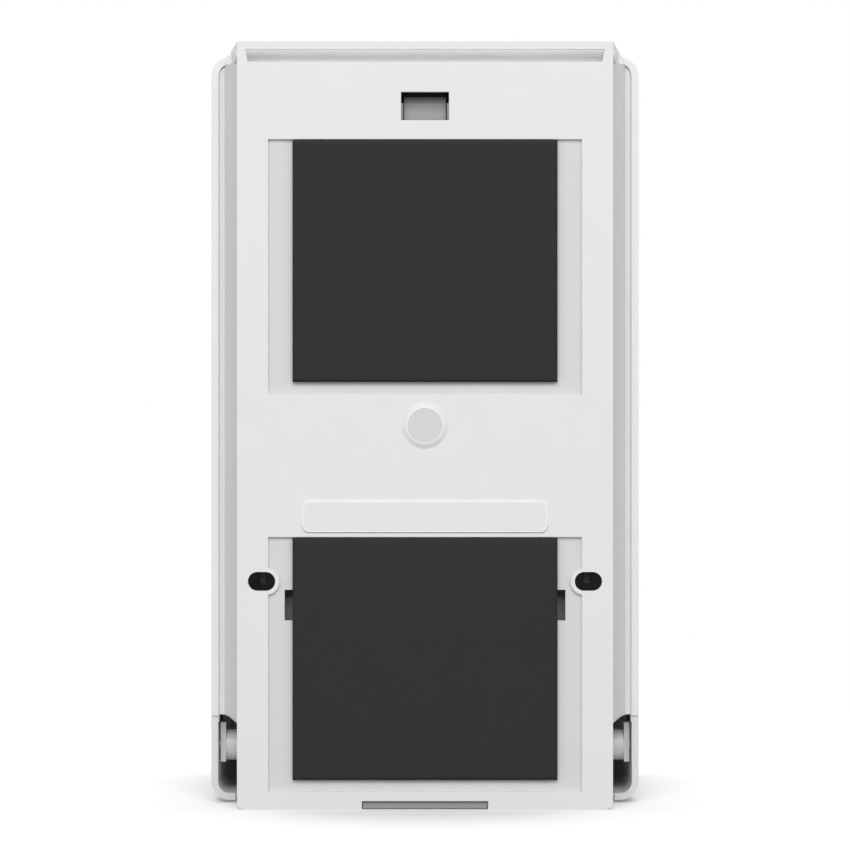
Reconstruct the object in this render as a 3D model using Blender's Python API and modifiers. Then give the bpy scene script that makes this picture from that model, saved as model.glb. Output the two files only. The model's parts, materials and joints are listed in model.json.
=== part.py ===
"""Wall-mounted hand sanitizer dispenser: push bar, hinged cover and refill cartridge.

The origin lies in the wall plane at the middle of the back, +Z is up, the wall is on +Y
and the front faces -Y. Heights are measured up from the housing's lower edge, depths are
measured forward from the wall plane, and all sizes are in metres.
"""
import math

import bmesh
import bpy
from mathutils import Matrix, Vector

# Clearances and cutting
FIT_GAP = 0.0003
RUN_GAP = 0.0004
PIN_CLEARANCE = 0.00035
OVERRUN = 0.004
WELD_DISTANCE = 0.00001
ROUND_SEGMENTS = 24
SPRING_POINTS_PER_TURN = 10
ARC_PROFILE = 0.5

# Rear housing
HOUSING_HEIGHT = 0.235
PLATE_WIDTH = 0.115
PLATE_SETBACK = 0.0009
HOUSING_WALL = 0.0024
FLARE_DEPTH = 0.036
FLARE_GAP = 0.0008
STEP_HEIGHT = 0.0265
LOWER_WALL_DEPTH = 0.042
FLOOR_DEPTH = 0.020
PLATE_CORNER_RADIUS = 0.0022
SHOULDER_RIB_HEIGHT = 0.0032
SHOULDER_RIB_SETBACK = 0.0155
SHOULDER_RIB_REACH = 0.004
SHOULDER_SLOPE = 0.524
SHOULDER_START = 0.0004
UPPER_CAVITY_INSET = 0.0024
UPPER_CAVITY_DROP = 0.013

# Wings: the flared sides between the cover's walls, each with a narrow ledge behind its rim
WING_GAP = 0.0003
WING_ROOT = 0.0002
WING_LEDGE_DEPTH = 0.0206
WING_LEDGE_WIDTH = 0.0016
WING_LEDGE_RISE = 0.0004
WING_TOP_GAP = 0.0007
WING_TOP_RADIUS = 0.0034
WING_FOOT_RISE = 0.0009
WING_FRONT_INSET = 0.0003
WING_OVERLAP = 0.004

# Openings and recesses of the back plate
BRACKET_SLOT_HEIGHT = 0.0038
BRACKET_SLOT_INSET = 0.0024
BRACKET_SLOT_TAPER = 0.0009
TROUGH_DEPTH = 0.0076
TROUGH_WALL = 0.0016
TROUGH_FLOOR = 0.002
TROUGH_OVERLAP = 0.0011
LATCH_WINDOW_WIDTH = 0.0147
LATCH_WINDOW_HEIGHT = 0.0087
LATCH_WINDOW_DROP = 0.0241
PUMP_WINDOW_WIDTH = 0.086
PUMP_WINDOW_HEIGHT = 0.0094
PUMP_WINDOW_SILL = 0.0578
FOOT_NOTCH_WIDTH = 0.0387
FOOT_NOTCH_HEIGHT = 0.0026
RECESS_SIDE_GAP = 0.0095
RECESS_DEPTH = 0.0012
RECESS_DROP = 0.0299
UPPER_RECESS_GAP = 0.0096
LOWER_RECESS_GAP = 0.0341
SCREW_SLOT_SPACING = 0.100
SCREW_SLOT_HEIGHT = 0.0698
SCREW_SLOT_LENGTH = 0.0084
SCREW_SLOT_WIDTH = 0.0058
SCREW_SLOT_RING = 0.00125

# Raised button and label panel on the back plate
NUB_BASE_RADIUS = 0.0072
NUB_TOP_RADIUS = 0.0056
LABEL_WIDTH = 0.0746
LABEL_HEIGHT = 0.0094
LABEL_DROP = 0.0326
LABEL_RADIUS = 0.0018
LABEL_RISE = 0.0005

# Foam pads
PAD_SIDE_GAP = 0.0075
PAD_FOOT_GAP = 0.0037

# Front cover and push bar skins
COVER_WIDTH = 0.1332
COVER_REAR_DEPTH = 0.020
BODY_DEPTH = 0.113
COVER_WALL = 0.0022
COVER_TOP_DROP = 0.0026
COVER_FOOT_HEIGHT = 0.027
COVER_FRONT_FOOT_HEIGHT = 0.074
COVER_TOP_RADIUS = 0.0059
FRONT_CORNER_RADIUS = 0.022
FRONT_BOW_DEG = 6.0
CORNER_STEPS = 6
BOW_STEPS = 6
EDGE_STEPS = 5

# Push bar
BAR_WALL = 0.0021
BAR_BOTTOM_HEIGHT = 0.0008
BAR_CORNER_RADIUS = 0.0056
BAR_TRAVEL_DEG = 6.0
BAR_TRAVEL_MARGIN_DEG = 0.3
SEAM_GAP = 0.0004
SKIRT_STEP = 0.0028
SKIRT_REAR_DEPTH = 0.0525
SKIRT_LAP = 0.003
SKIRT_DROP = 0.0003
BAR_INNER_STRIP = 0.0074
BAR_FLOOR_REACH = 0.0168
OUTLET_WIDTH = 0.048
OUTLET_REACH = 0.016
RIB_OFFSET = 0.016
RIB_WIDTH = 0.0024
RIB_CONTACT_DEPTH = 0.080
RIB_TIP_LENGTH = 0.008
RIB_FRONT_GAP = 0.013

# Push pad
GRIP_WIDTH = 0.062
GRIP_HEIGHT = 0.026
GRIP_SILL = 0.016
GRIP_SINK = 0.0009
GRIP_RISE = 0.0009

# Hinge of the cover and the bar
PIVOT_DEPTH = 0.031
PIVOT_HEIGHT = 0.0171
EAR_RADIUS = 0.00485
EAR_THICKNESS = 0.0017
EAR_LEAF_REACH = 0.0050
EAR_PAD_INSET = 0.0008
EAR_TOP_HEIGHT = 0.0245
EAR_ARM_REAR_DEPTH = 0.0375
EAR_ARM_WIDTH = 0.0113
EAR_ARM_TOP_HEIGHT = 0.058
PIN_RADIUS = 0.002
PIN_HEAD_RADIUS = 0.0038
PIN_HEAD_LENGTH = 0.0015
PIN_SOCKET_DEPTH = 0.0015

# Sight window
SIGHT_WIDTH = 0.014
SIGHT_DROP = 0.047
SIGHT_SILL = 0.118
SIGHT_SINK = 0.0002
SIGHT_FLANGE = 0.0022
SIGHT_FLANGE_THICKNESS = 0.0012

# Latch, its pin, its spring and the release button
LATCH_PIVOT_DEPTH = 0.031
LATCH_PIVOT_DROP = 0.019
LATCH_HUB_RADIUS = 0.0034
LATCH_HUB_WIDTH = 0.0272
LATCH_PIN_RADIUS = 0.0015
LATCH_BLADE_WIDTH = 0.0129
LATCH_ARM_DROP = 0.003
LATCH_ARM_RISE = 0.001
LATCH_BLADE_REAR_DEPTH = 0.0065
LATCH_BLADE_THICKNESS = 0.0025
LATCH_BLADE_DROP = 0.0067
LATCH_BLADE_RISE = 0.0025
TOOTH_WIDTH = 0.025
TOOTH_REAR_DEPTH = 0.0142
TOOTH_LENGTH = 0.0028
TOOTH_RISE = 0.008
LATCH_RIB_THICKNESS = 0.0022
LATCH_RIB_DEPTH = 0.010
LATCH_RIB_DROP = 0.0045
BUTTON_WIDTH = 0.016
BUTTON_REAR_DEPTH = 0.0178
BUTTON_LENGTH = 0.0102
BUTTON_SINK = 0.0003
BUTTON_FLANGE = 0.0006
BUTTON_FLANGE_THICKNESS = 0.0022
BUTTON_STEM_WIDTH = 0.009
BUTTON_STEM_DEPTH = 0.022
BUTTON_STEM_LENGTH = 0.003
SPRING_LEDGE_DROP = 0.013
SPRING_LEDGE_THICKNESS = 0.0025
SPRING_LEDGE_WIDTH = 0.008
LATCH_SPRING_DEPTH = 0.0119
LATCH_SPRING_RADIUS = 0.0016
LATCH_SPRING_WIRE = 0.0006
LATCH_SPRING_TURNS = 5

# Cover catch
CATCH_PLATE_WIDTH = 0.032
CATCH_PLATE_REAR_DEPTH = 0.041
CATCH_PLATE_LENGTH = 0.014
CATCH_PLATE_THICKNESS = 0.0027
PRONG_OFFSET = 0.009
PRONG_WIDTH = 0.0035
PRONG_SETBACK = 0.0009
PRONG_THICKNESS = 0.003
LIP_REAR_DEPTH = 0.010
LIP_LENGTH = 0.0029
LIP_OVERLAP = 0.0023
CATCH_SCREW_OFFSET = 0.010
CATCH_SCREW_RADIUS = 0.0013
CATCH_SCREW_HEAD_RADIUS = 0.0026
CATCH_SCREW_HEAD = 0.0014
CATCH_SCREW_BITE = 0.0014

# Pump cradle
CRADLE_WIDTH = 0.060
CRADLE_WALL = 0.0024
CRADLE_REAR_DEPTH = 0.0093
CRADLE_BOTTOM = 0.003
CRADLE_TOP = 0.098
CRADLE_FOOT_SETBACK = 0.0022
CRADLE_FOOT_HEIGHT = 0.0003
CRADLE_WING_WIDTH = 0.089
CRADLE_WING_BOTTOM = 0.0503
CRADLE_WING_TOP = 0.0649
CRADLE_WING_INSET = 0.0003
SHELF_TOP = 0.062
SHELF_THICKNESS = 0.004
SHELF_FRONT_DEPTH = 0.080
SHELF_SLOT_GAP = 0.0006
CRADLE_WEB_BOTTOM = 0.018
CRADLE_SCREW_OFFSET = 0.022
CRADLE_SCREW_HEIGHTS = (0.010, 0.091)
CRADLE_SCREW_RADIUS = 0.0013
CRADLE_PILOT_RADIUS = 0.0016
CRADLE_BOSS_RADIUS = 0.0035
CRADLE_SCREW_HEAD_RADIUS = 0.003
CRADLE_SCREW_HEAD = 0.0016
CRADLE_SCREW_BITE = 0.0045

# Lift lever
LEVER_AXIS_DEPTH = 0.016
LEVER_AXIS_HEIGHT = 0.0235
LEVER_HUB_RADIUS = 0.004
LEVER_BLADE_WIDTH = 0.048
LEVER_BLADE_BOTTOM = 0.0186
LEVER_BLADE_THICKNESS = 0.0032
LEVER_TIP_MARGIN = 0.004
LEVER_SLOT_WIDTH = 0.010
LEVER_SLOT_MARGIN = 0.007
LEVER_NUB_RADIUS = 0.0016
LEVER_NUB_OFFSET = 0.0062
LEVER_NUB_LENGTH = 0.006
AXLE_RADIUS = 0.002

# Pump and cap
PUMP_DEPTH = 0.058
CAP_RADIUS = 0.020
CAP_HEIGHT = 0.0177
CAP_WALL = 0.0026
CAP_FLOOR = 0.0036
FLANGE_THICKNESS = 0.0017
GASKET_THICKNESS = 0.0009
GASKET_WIDTH = 0.0026
CHAMBER_RADIUS = 0.012
CHAMBER_WALL = 0.0025
CHAMBER_DROP = 0.014
CHAMBER_FLOOR = 0.002
CHAMBER_CEILING = 0.0044
INLET_RADIUS = 0.005
INLET_BORE = 0.0022
INLET_RISE = 0.014
BALL_RADIUS = 0.0017
BALL_SEAT_HEIGHT = 0.004
BALL_SEAT_BORE = 0.0012

# Plunger and nozzle
HEAD_CLEARANCE = 0.0004
HEAD_LENGTH = 0.005
HEAD_TOP_MARGIN = 0.0011
SEAL_WIDTH = 0.0014
SEAL_HEIGHT = 0.0018
STEM_RADIUS = 0.004
STEM_CLEARANCE = 0.0005
STEM_BORE = 0.0014
PLUNGER_FLANGE_RADIUS = 0.013
PLUNGER_FLANGE_THICKNESS = 0.003
PUMP_SPRING_LENGTH = 0.0167
PUMP_SPRING_RADIUS = 0.0064
PUMP_SPRING_WIRE = 0.001
PUMP_SPRING_TURNS = 4
NOZZLE_RADIUS = 0.0035
NOZZLE_BOTTOM = 0.0085
TIP_BOTTOM = 0.006
TIP_HEIGHT = 0.0075
TIP_RADIUS = 0.0056
TIP_MOUTH_RADIUS = 0.0046

# Refill bottle
BOTTLE_SIDE_GAP = 0.0035
BOTTLE_REAR_DEPTH = 0.015
BOTTLE_FRONT_GAP = 0.020
BOTTLE_TOP_DROP = 0.027
BOTTLE_SHOULDER = 0.097
BOTTLE_WALL = 0.001
NECK_LENGTH = 0.0148
BOTTLE_SEGMENTS = 32
BOTTLE_SQUARENESS = 6.0
ROUND_SQUARENESS = 2.0
SHOULDER_SHARES = ((0.12, 0.30), (0.42, 0.72), (0.78, 0.94), (1.0, 1.0))
CROWN_SHARES = ((0.0, 1.0), (0.55, 0.985), (0.88, 0.94), (1.0, 0.84))
CROWN_HEIGHT = 0.010

# Insets of the skirt's section from the outer skin, with the level of each corner
SKIRT_SECTION = (
    (BAR_WALL / 2, "ledge_low"),
    (BAR_WALL / 2, "ledge_top"),
    (SKIRT_STEP, "ledge_top"),
    (SKIRT_STEP, "lap_top"),
    (SKIRT_STEP + BAR_WALL, "lap_top"),
    (SKIRT_STEP + BAR_WALL, "ledge_low"),
)

# Values that follow from the sizes above
middle_height = HOUSING_HEIGHT / 2
cover_half = COVER_WIDTH / 2
plate_half = PLATE_WIDTH / 2
cover_top = HOUSING_HEIGHT - COVER_TOP_DROP
cover_inner = cover_half - COVER_WALL
bar_inner = cover_half - BAR_WALL
flare_half = cover_inner - FLARE_GAP
wing_outer = cover_inner - WING_GAP
wing_top = cover_top - COVER_WALL - WING_TOP_GAP
ear_outer = bar_inner - RUN_GAP
ear_inner = ear_outer - EAR_THICKNESS
plate_inner_depth = PLATE_SETBACK + HOUSING_WALL
recess_floor_depth = PLATE_SETBACK + RECESS_DEPTH
housing_ceiling = HOUSING_HEIGHT - HOUSING_WALL
trough_sill = housing_ceiling - BRACKET_SLOT_HEIGHT
bracket_slot_half = plate_half - BRACKET_SLOT_INSET
upper_cavity_height = HOUSING_HEIGHT - UPPER_CAVITY_DROP
latch_window_sill = HOUSING_HEIGHT - LATCH_WINDOW_DROP
label_sill = middle_height - LABEL_DROP
recess_half = plate_half - RECESS_SIDE_GAP
recess_height = middle_height - RECESS_DROP - UPPER_RECESS_GAP
upper_recess_top = HOUSING_HEIGHT - RECESS_DROP
lower_recess_top = middle_height - LOWER_RECESS_GAP
pad_half = recess_half - PAD_SIDE_GAP
lower_half = plate_half - HOUSING_WALL
foot_slope = math.atan2(COVER_FRONT_FOOT_HEIGHT - COVER_FOOT_HEIGHT, BODY_DEPTH - COVER_REAR_DEPTH)
bar_slope = foot_slope - math.radians(BAR_TRAVEL_DEG + BAR_TRAVEL_MARGIN_DEG)
bar_floor_rear = PIVOT_DEPTH + BAR_FLOOR_REACH
outlet_front = PUMP_DEPTH + OUTLET_REACH
sight_height = HOUSING_HEIGHT - SIGHT_DROP - SIGHT_SILL
latch_pivot_height = HOUSING_HEIGHT - LATCH_PIVOT_DROP
latch_arm_low = latch_pivot_height - LATCH_ARM_DROP
latch_arm_top = latch_pivot_height + LATCH_ARM_RISE
latch_blade_low = latch_pivot_height - LATCH_BLADE_DROP
latch_blade_top = latch_pivot_height + LATCH_BLADE_RISE
latch_rib_low = latch_pivot_height - LATCH_RIB_DROP
tooth_top = latch_pivot_height + TOOTH_RISE
spring_ledge_top = latch_pivot_height - SPRING_LEDGE_DROP
catch_top = cover_top - COVER_WALL - FIT_GAP
prong_top = catch_top - PRONG_SETBACK
lip_low = tooth_top - LIP_OVERLAP
bottle_top = HOUSING_HEIGHT - BOTTLE_TOP_DROP
bottle_front = BODY_DEPTH - BOTTLE_FRONT_GAP
bottle_depth = (BOTTLE_REAR_DEPTH + bottle_front) / 2
cap_base = SHELF_TOP + FIT_GAP
flange_low = cap_base + CAP_FLOOR + FIT_GAP
flange_top = flange_low + FLANGE_THICKNESS
gasket_low = flange_top + FIT_GAP
neck_low = gasket_low + GASKET_THICKNESS + FIT_GAP
neck_radius = CAP_RADIUS - CAP_WALL - FIT_GAP
chamber_low = SHELF_TOP - SHELF_THICKNESS - CHAMBER_DROP
chamber_bore = CHAMBER_RADIUS - CHAMBER_WALL
chamber_ceiling = flange_top - CHAMBER_CEILING
plunger_flange_top = chamber_low - PUMP_SPRING_LENGTH
plunger_flange_low = plunger_flange_top - PLUNGER_FLANGE_THICKNESS
nub_centre_height = plunger_flange_low - FIT_GAP - LEVER_NUB_RADIUS
lever_reach = PUMP_DEPTH - LEVER_AXIS_DEPTH
lever_contact = RIB_CONTACT_DEPTH - LEVER_AXIS_DEPTH
bar_contact = RIB_CONTACT_DEPTH - PIVOT_DEPTH
lever_ratio = bar_contact / lever_contact
stroke = lever_reach * lever_ratio * math.radians(BAR_TRAVEL_DEG)
head_top = chamber_ceiling - stroke - HEAD_TOP_MARGIN


def z_at(height):
    return height - middle_height


def y_at(depth):
    return -depth


def flare_half_at(depth):
    """Half-width of the housing's flared sides at a depth."""
    slope = (flare_half - plate_half) / (FLARE_DEPTH - PLATE_SETBACK)
    return plate_half + slope * (depth - PLATE_SETBACK)


# The scene starts empty, with one collection for the parts and one for the cutting tools
for old in list(bpy.data.objects):
    bpy.data.objects.remove(old, do_unlink=True)
parts = bpy.data.collections.new("hand_sanitizer_dispenser")
tools = bpy.data.collections.new("cutting_tools")
bpy.context.scene.collection.children.link(parts)
bpy.context.scene.collection.children.link(tools)


def make_material(name, color, roughness, metallic=0.0, alpha=1.0):
    material = bpy.data.materials.new(name)
    material.use_nodes = True
    shader = material.node_tree.nodes["Principled BSDF"]
    shader.inputs["Base Color"].default_value = (*color, 1.0)
    shader.inputs["Roughness"].default_value = roughness
    shader.inputs["Metallic"].default_value = metallic
    shader.inputs["Alpha"].default_value = alpha
    return material


WHITE_ABS = make_material("white_abs", (0.78, 0.78, 0.77), 0.42)
COVER_ABS = make_material("cover_abs", (0.80, 0.80, 0.79), 0.34)
BAR_ABS = make_material("bar_abs", (0.74, 0.74, 0.72), 0.36)
GREY_ABS = make_material("grey_abs", (0.23, 0.22, 0.20), 0.5)
BLACK_FOAM = make_material("black_foam", (0.032, 0.032, 0.032), 0.95)
GRIP_RUBBER = make_material("grip_rubber", (0.30, 0.31, 0.32), 0.7)
SMOKED_WINDOW = make_material("smoked_window", (0.55, 0.60, 0.63), 0.12, alpha=0.5)
NATURAL_PE = make_material("natural_pe", (0.72, 0.76, 0.78), 0.35, alpha=0.6)
CAP_PLASTIC = make_material("cap_plastic", (0.70, 0.71, 0.72), 0.45)
PUMP_PLASTIC = make_material("pump_plastic", (0.66, 0.68, 0.70), 0.4)
SEAL_RUBBER = make_material("seal_rubber", (0.10, 0.10, 0.11), 0.8)
ZINC_STEEL = make_material("zinc_steel", (0.60, 0.61, 0.62), 0.32, metallic=1.0)
SPRING_STEEL = make_material("spring_steel", (0.52, 0.53, 0.55), 0.28, metallic=1.0)


def place(bm, name, material=None, location=(0, 0, 0)):
    """Turns a bmesh into a part, or into a cutting tool where it has no material."""
    bmesh.ops.recalc_face_normals(bm, faces=bm.faces)
    mesh = bpy.data.meshes.new(name)
    bm.to_mesh(mesh)
    bm.free()
    body = bpy.data.objects.new(name, mesh)
    body.location = location
    if material is None:
        tools.objects.link(body)
        body.display_type = "WIRE"
        body.hide_render = True
    else:
        parts.objects.link(body)
        mesh.materials.append(material)
    return body


def boolean(target, other, operation):
    """Cuts or joins a tool with its target, which then carries the tool."""
    modifier = target.modifiers.new(other.name, "BOOLEAN")
    modifier.operation = operation
    modifier.solver = "EXACT"
    modifier.object = other
    other.parent = target
    other.matrix_parent_inverse = Matrix.Translation(target.location).inverted()


def cut(target, *others):
    for other in others:
        boolean(target, other, "DIFFERENCE")


def join(target, *others):
    for other in others:
        boolean(target, other, "UNION")


def box_mesh(x_range, depth_range, height_range):
    """A box between two widths, two depths and two heights."""
    bm = bmesh.new()
    bmesh.ops.create_cube(bm, size=1)
    for vert in bm.verts:
        x = x_range[vert.co.x > 0]
        y = y_at(depth_range[vert.co.y < 0])
        z = z_at(height_range[vert.co.z > 0])
        vert.co = Vector((x, y, z))
    return bm


def box(name, x_range, depth_range, height_range, material=None):
    return place(box_mesh(x_range, depth_range, height_range), name, material)


def tapered_box(name, rear_half, front_half, depth_range, height_range, material=None):
    """A box whose half-width changes from its rear to its front."""
    bm = box_mesh((-rear_half, rear_half), depth_range, height_range)
    for vert in bm.verts:
        if vert.co.y < y_at(sum(depth_range) / 2):
            vert.co.x = math.copysign(front_half, vert.co.x)
    return place(bm, name, material)


def rod_mesh(axis, radius, span, centre, end_radius=None, segments=ROUND_SEGMENTS):
    """A cylinder or cone along X, Y or Z; span and centre are widths, depths and heights."""
    bm = bmesh.new()
    if end_radius is None:
        end_radius = radius
    length = span[1] - span[0]
    bmesh.ops.create_cone(
        bm, cap_ends=True, segments=segments, radius1=radius, radius2=end_radius, depth=length
    )
    middle = sum(span) / 2
    if axis == "X":
        turn = Matrix.Rotation(math.radians(90), 4, "Y")
        shift = Vector((middle, y_at(centre[0]), z_at(centre[1])))
    elif axis == "Y":
        turn = Matrix.Rotation(math.radians(90), 4, "X")
        shift = Vector((centre[0], y_at(middle), z_at(centre[1])))
    else:
        turn = Matrix.Identity(4)
        shift = Vector((centre[0], y_at(centre[1]), z_at(middle)))
    bmesh.ops.transform(bm, matrix=Matrix.Translation(shift) @ turn, verts=bm.verts)
    return bm


def rod(name, axis, radius, span, centre, material=None, end_radius=None, segments=ROUND_SEGMENTS):
    return place(rod_mesh(axis, radius, span, centre, end_radius, segments), name, material)


def stadium(name, half_length, radius, x_centre, height, depth_range, material=None):
    """An oval prism through the back plate, long across the dispenser."""
    bm = bmesh.new()
    reach = half_length - radius
    step = math.pi / ROUND_SEGMENTS * 2
    corners = []
    for side in (1, -1):
        for index in range(ROUND_SEGMENTS // 2 + 1):
            angle = -math.pi / 2 * side + index * step
            x = x_centre + side * reach + radius * math.cos(angle)
            z = z_at(height) + radius * math.sin(angle)
            corners.append(bm.verts.new((x, y_at(depth_range[0]), z)))
    face = bm.faces.new(corners)
    grown = bmesh.ops.extrude_face_region(bm, geom=[face])
    moved = [item for item in grown["geom"] if isinstance(item, bmesh.types.BMVert)]
    bmesh.ops.translate(bm, verts=moved, vec=(0, y_at(depth_range[1] - depth_range[0]), 0))
    return place(bm, name, material)


def lathe(name, profile, depth, material, segments=ROUND_SEGMENTS):
    """A turned piece on an upright axis; the profile is radii and heights round its section."""
    bm = bmesh.new()
    ring = [bm.verts.new((radius, 0, height)) for radius, height in profile]
    for start, end in zip(ring, ring[1:] + ring[:1]):
        bm.edges.new((start, end))
    mesh = bpy.data.meshes.new(name)
    bm.to_mesh(mesh)
    bm.free()
    mesh.materials.append(material)
    body = bpy.data.objects.new(name, mesh)
    parts.objects.link(body)
    body.location = (0, y_at(depth), z_at(0))
    turn = body.modifiers.new("turn", "SCREW")
    turn.steps = segments
    turn.render_steps = segments
    turn.use_merge_vertices = True
    turn.merge_threshold = WELD_DISTANCE
    return body


def coil_spring(name, radius, wire, turns, height_range, depth, material):
    """A helical spring of round wire, standing between two heights."""
    curve = bpy.data.curves.new(name, "CURVE")
    curve.dimensions = "3D"
    curve.bevel_depth = wire / 2
    curve.bevel_resolution = 1
    curve.use_fill_caps = True
    count = turns * SPRING_POINTS_PER_TURN + 1
    low = height_range[0] + wire / 2
    rise = height_range[1] - height_range[0] - wire
    print(name, "least gap between turns", round(rise / turns - wire, 5))
    spline = curve.splines.new("POLY")
    spline.points.add(count - 1)
    for index, point in enumerate(spline.points):
        angle = 2 * math.pi * index / SPRING_POINTS_PER_TURN
        height = low + rise * index / (count - 1)
        point.co = (radius * math.cos(angle), radius * math.sin(angle), height, 1)
    body = bpy.data.objects.new(name, curve)
    parts.objects.link(body)
    body.location = (0, y_at(depth), z_at(0))
    curve.materials.append(material)
    return body


def side_range(side, inner, outer):
    return tuple(sorted((side * inner, side * outer)))


def axis_empty(name, depth, height, bodies):
    """An empty on a joint's axis, which carries the pieces that turn or slide there."""
    empty = bpy.data.objects.new(name, None)
    empty.location = (0, y_at(depth), z_at(height))
    parts.objects.link(empty)
    for body in bodies:
        body.parent = empty
        body.matrix_parent_inverse = Matrix.Translation(empty.location).inverted()
    return empty


# Plan outline that the cover and the push bar share
def bow_geometry():
    """Radius of the bowed front, and the centres of the bow and of the front corners."""
    bow = math.radians(FRONT_BOW_DEG)
    corner_x = cover_half - FRONT_CORNER_RADIUS
    chord = corner_x + FRONT_CORNER_RADIUS * math.sin(bow)
    bow_radius = chord / math.sin(bow)
    bow_centre_y = y_at(BODY_DEPTH) + bow_radius
    corner_y = bow_centre_y - (bow_radius - FRONT_CORNER_RADIUS) * math.cos(bow)
    return bow, bow_radius, bow_centre_y, corner_x, corner_y


def plan_outline(inset, rear_depth):
    """Points of the plan from the right rear round the front to the left rear."""
    bow, bow_radius, bow_centre_y, corner_x, corner_y = bow_geometry()
    right = [(cover_half - inset, y_at(rear_depth))]
    sweep = math.pi / 2 - bow
    for index in range(CORNER_STEPS + 1):
        angle = sweep * index / CORNER_STEPS
        radius = FRONT_CORNER_RADIUS - inset
        right.append((corner_x + radius * math.cos(angle), corner_y - radius * math.sin(angle)))
    for index in range(1, BOW_STEPS // 2):
        angle = bow * (1 - 2 * index / BOW_STEPS)
        radius = bow_radius - inset
        right.append((radius * math.sin(angle), bow_centre_y - radius * math.cos(angle)))
    middle = [(0, y_at(BODY_DEPTH - inset))]
    left = [(-x, y) for x, y in reversed(right)]
    return right + middle + left


def inset_point(x, y, inset):
    """The point of the inset outline that faces a point of the outer outline."""
    bow, bow_radius, bow_centre_y, corner_x, corner_y = bow_geometry()
    side = math.copysign(1, x)
    if y > corner_y:
        return x - side * inset, y
    from_corner = Vector((abs(x) - corner_x, corner_y - y))
    if abs(x) > corner_x + FRONT_CORNER_RADIUS * math.sin(bow) - WELD_DISTANCE:
        scale = (FRONT_CORNER_RADIUS - inset) / from_corner.length
        return side * (corner_x + from_corner.x * scale), corner_y - from_corner.y * scale
    scale = (bow_radius - inset) / bow_radius
    return x * scale, bow_centre_y + (y - bow_centre_y) * scale


def plan_prism(rear_depth, low, high, inset=0.0):
    """A prism on the plan outline between two heights."""
    bm = bmesh.new()
    corners = [bm.verts.new((x, y, z_at(low))) for x, y in plan_outline(inset, rear_depth)]
    face = bm.faces.new(corners)
    grown = bmesh.ops.extrude_face_region(bm, geom=[face])
    moved = [item for item in grown["geom"] if isinstance(item, bmesh.types.BMVert)]
    bmesh.ops.translate(bm, verts=moved, vec=(0, 0, high - low))
    bmesh.ops.recalc_face_normals(bm, faces=bm.faces)
    return bm


def at_height(vert, height):
    return abs(vert.co.z - z_at(height)) < WELD_DISTANCE


def at_depth(vert, depth):
    return abs(vert.co.y - y_at(depth)) < WELD_DISTANCE


def round_rim(bm, height, rear_depth, radius):
    """Rounds the rim of a prism at one height, apart from its rear edge."""
    rim = []
    for edge in bm.edges:
        on_rim = all(at_height(vert, height) for vert in edge.verts)
        rear = all(at_depth(vert, rear_depth) for vert in edge.verts)
        if on_rim and not rear:
            rim.append(edge)
    bmesh.ops.bevel(
        bm, geom=rim, offset=radius, segments=EDGE_STEPS, affect="EDGES", profile=ARC_PROFILE, material=-1
    )


def drop_faces(bm, keep_out):
    """Deletes the faces for which a test on every corner holds."""
    doomed = [face for face in bm.faces if all(keep_out(vert) for vert in face.verts)]
    bmesh.ops.delete(bm, geom=doomed, context="FACES")


def slanted_cut(bm, height, slope, clear_above):
    """Trims a shell along the slanted seam that rises from its rear to the front."""
    normal = Vector((0, math.sin(slope), math.cos(slope)))
    point = Vector((0, y_at(COVER_REAR_DEPTH), z_at(height)))
    geom = list(bm.verts) + list(bm.edges) + list(bm.faces)
    bmesh.ops.bisect_plane(
        bm,
        geom=geom,
        plane_co=point,
        plane_no=normal,
        clear_outer=clear_above,
        clear_inner=not clear_above,
    )


def seam_height(depth, rear_height, slope):
    return rear_height + (depth - COVER_REAR_DEPTH) * math.tan(slope)


def thicken(body, wall):
    """Gives an open surface its wall, inwards."""
    shell = body.modifiers.new("wall", "SOLIDIFY")
    shell.thickness = wall
    shell.offset = -1
    shell.use_even_offset = True


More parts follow.
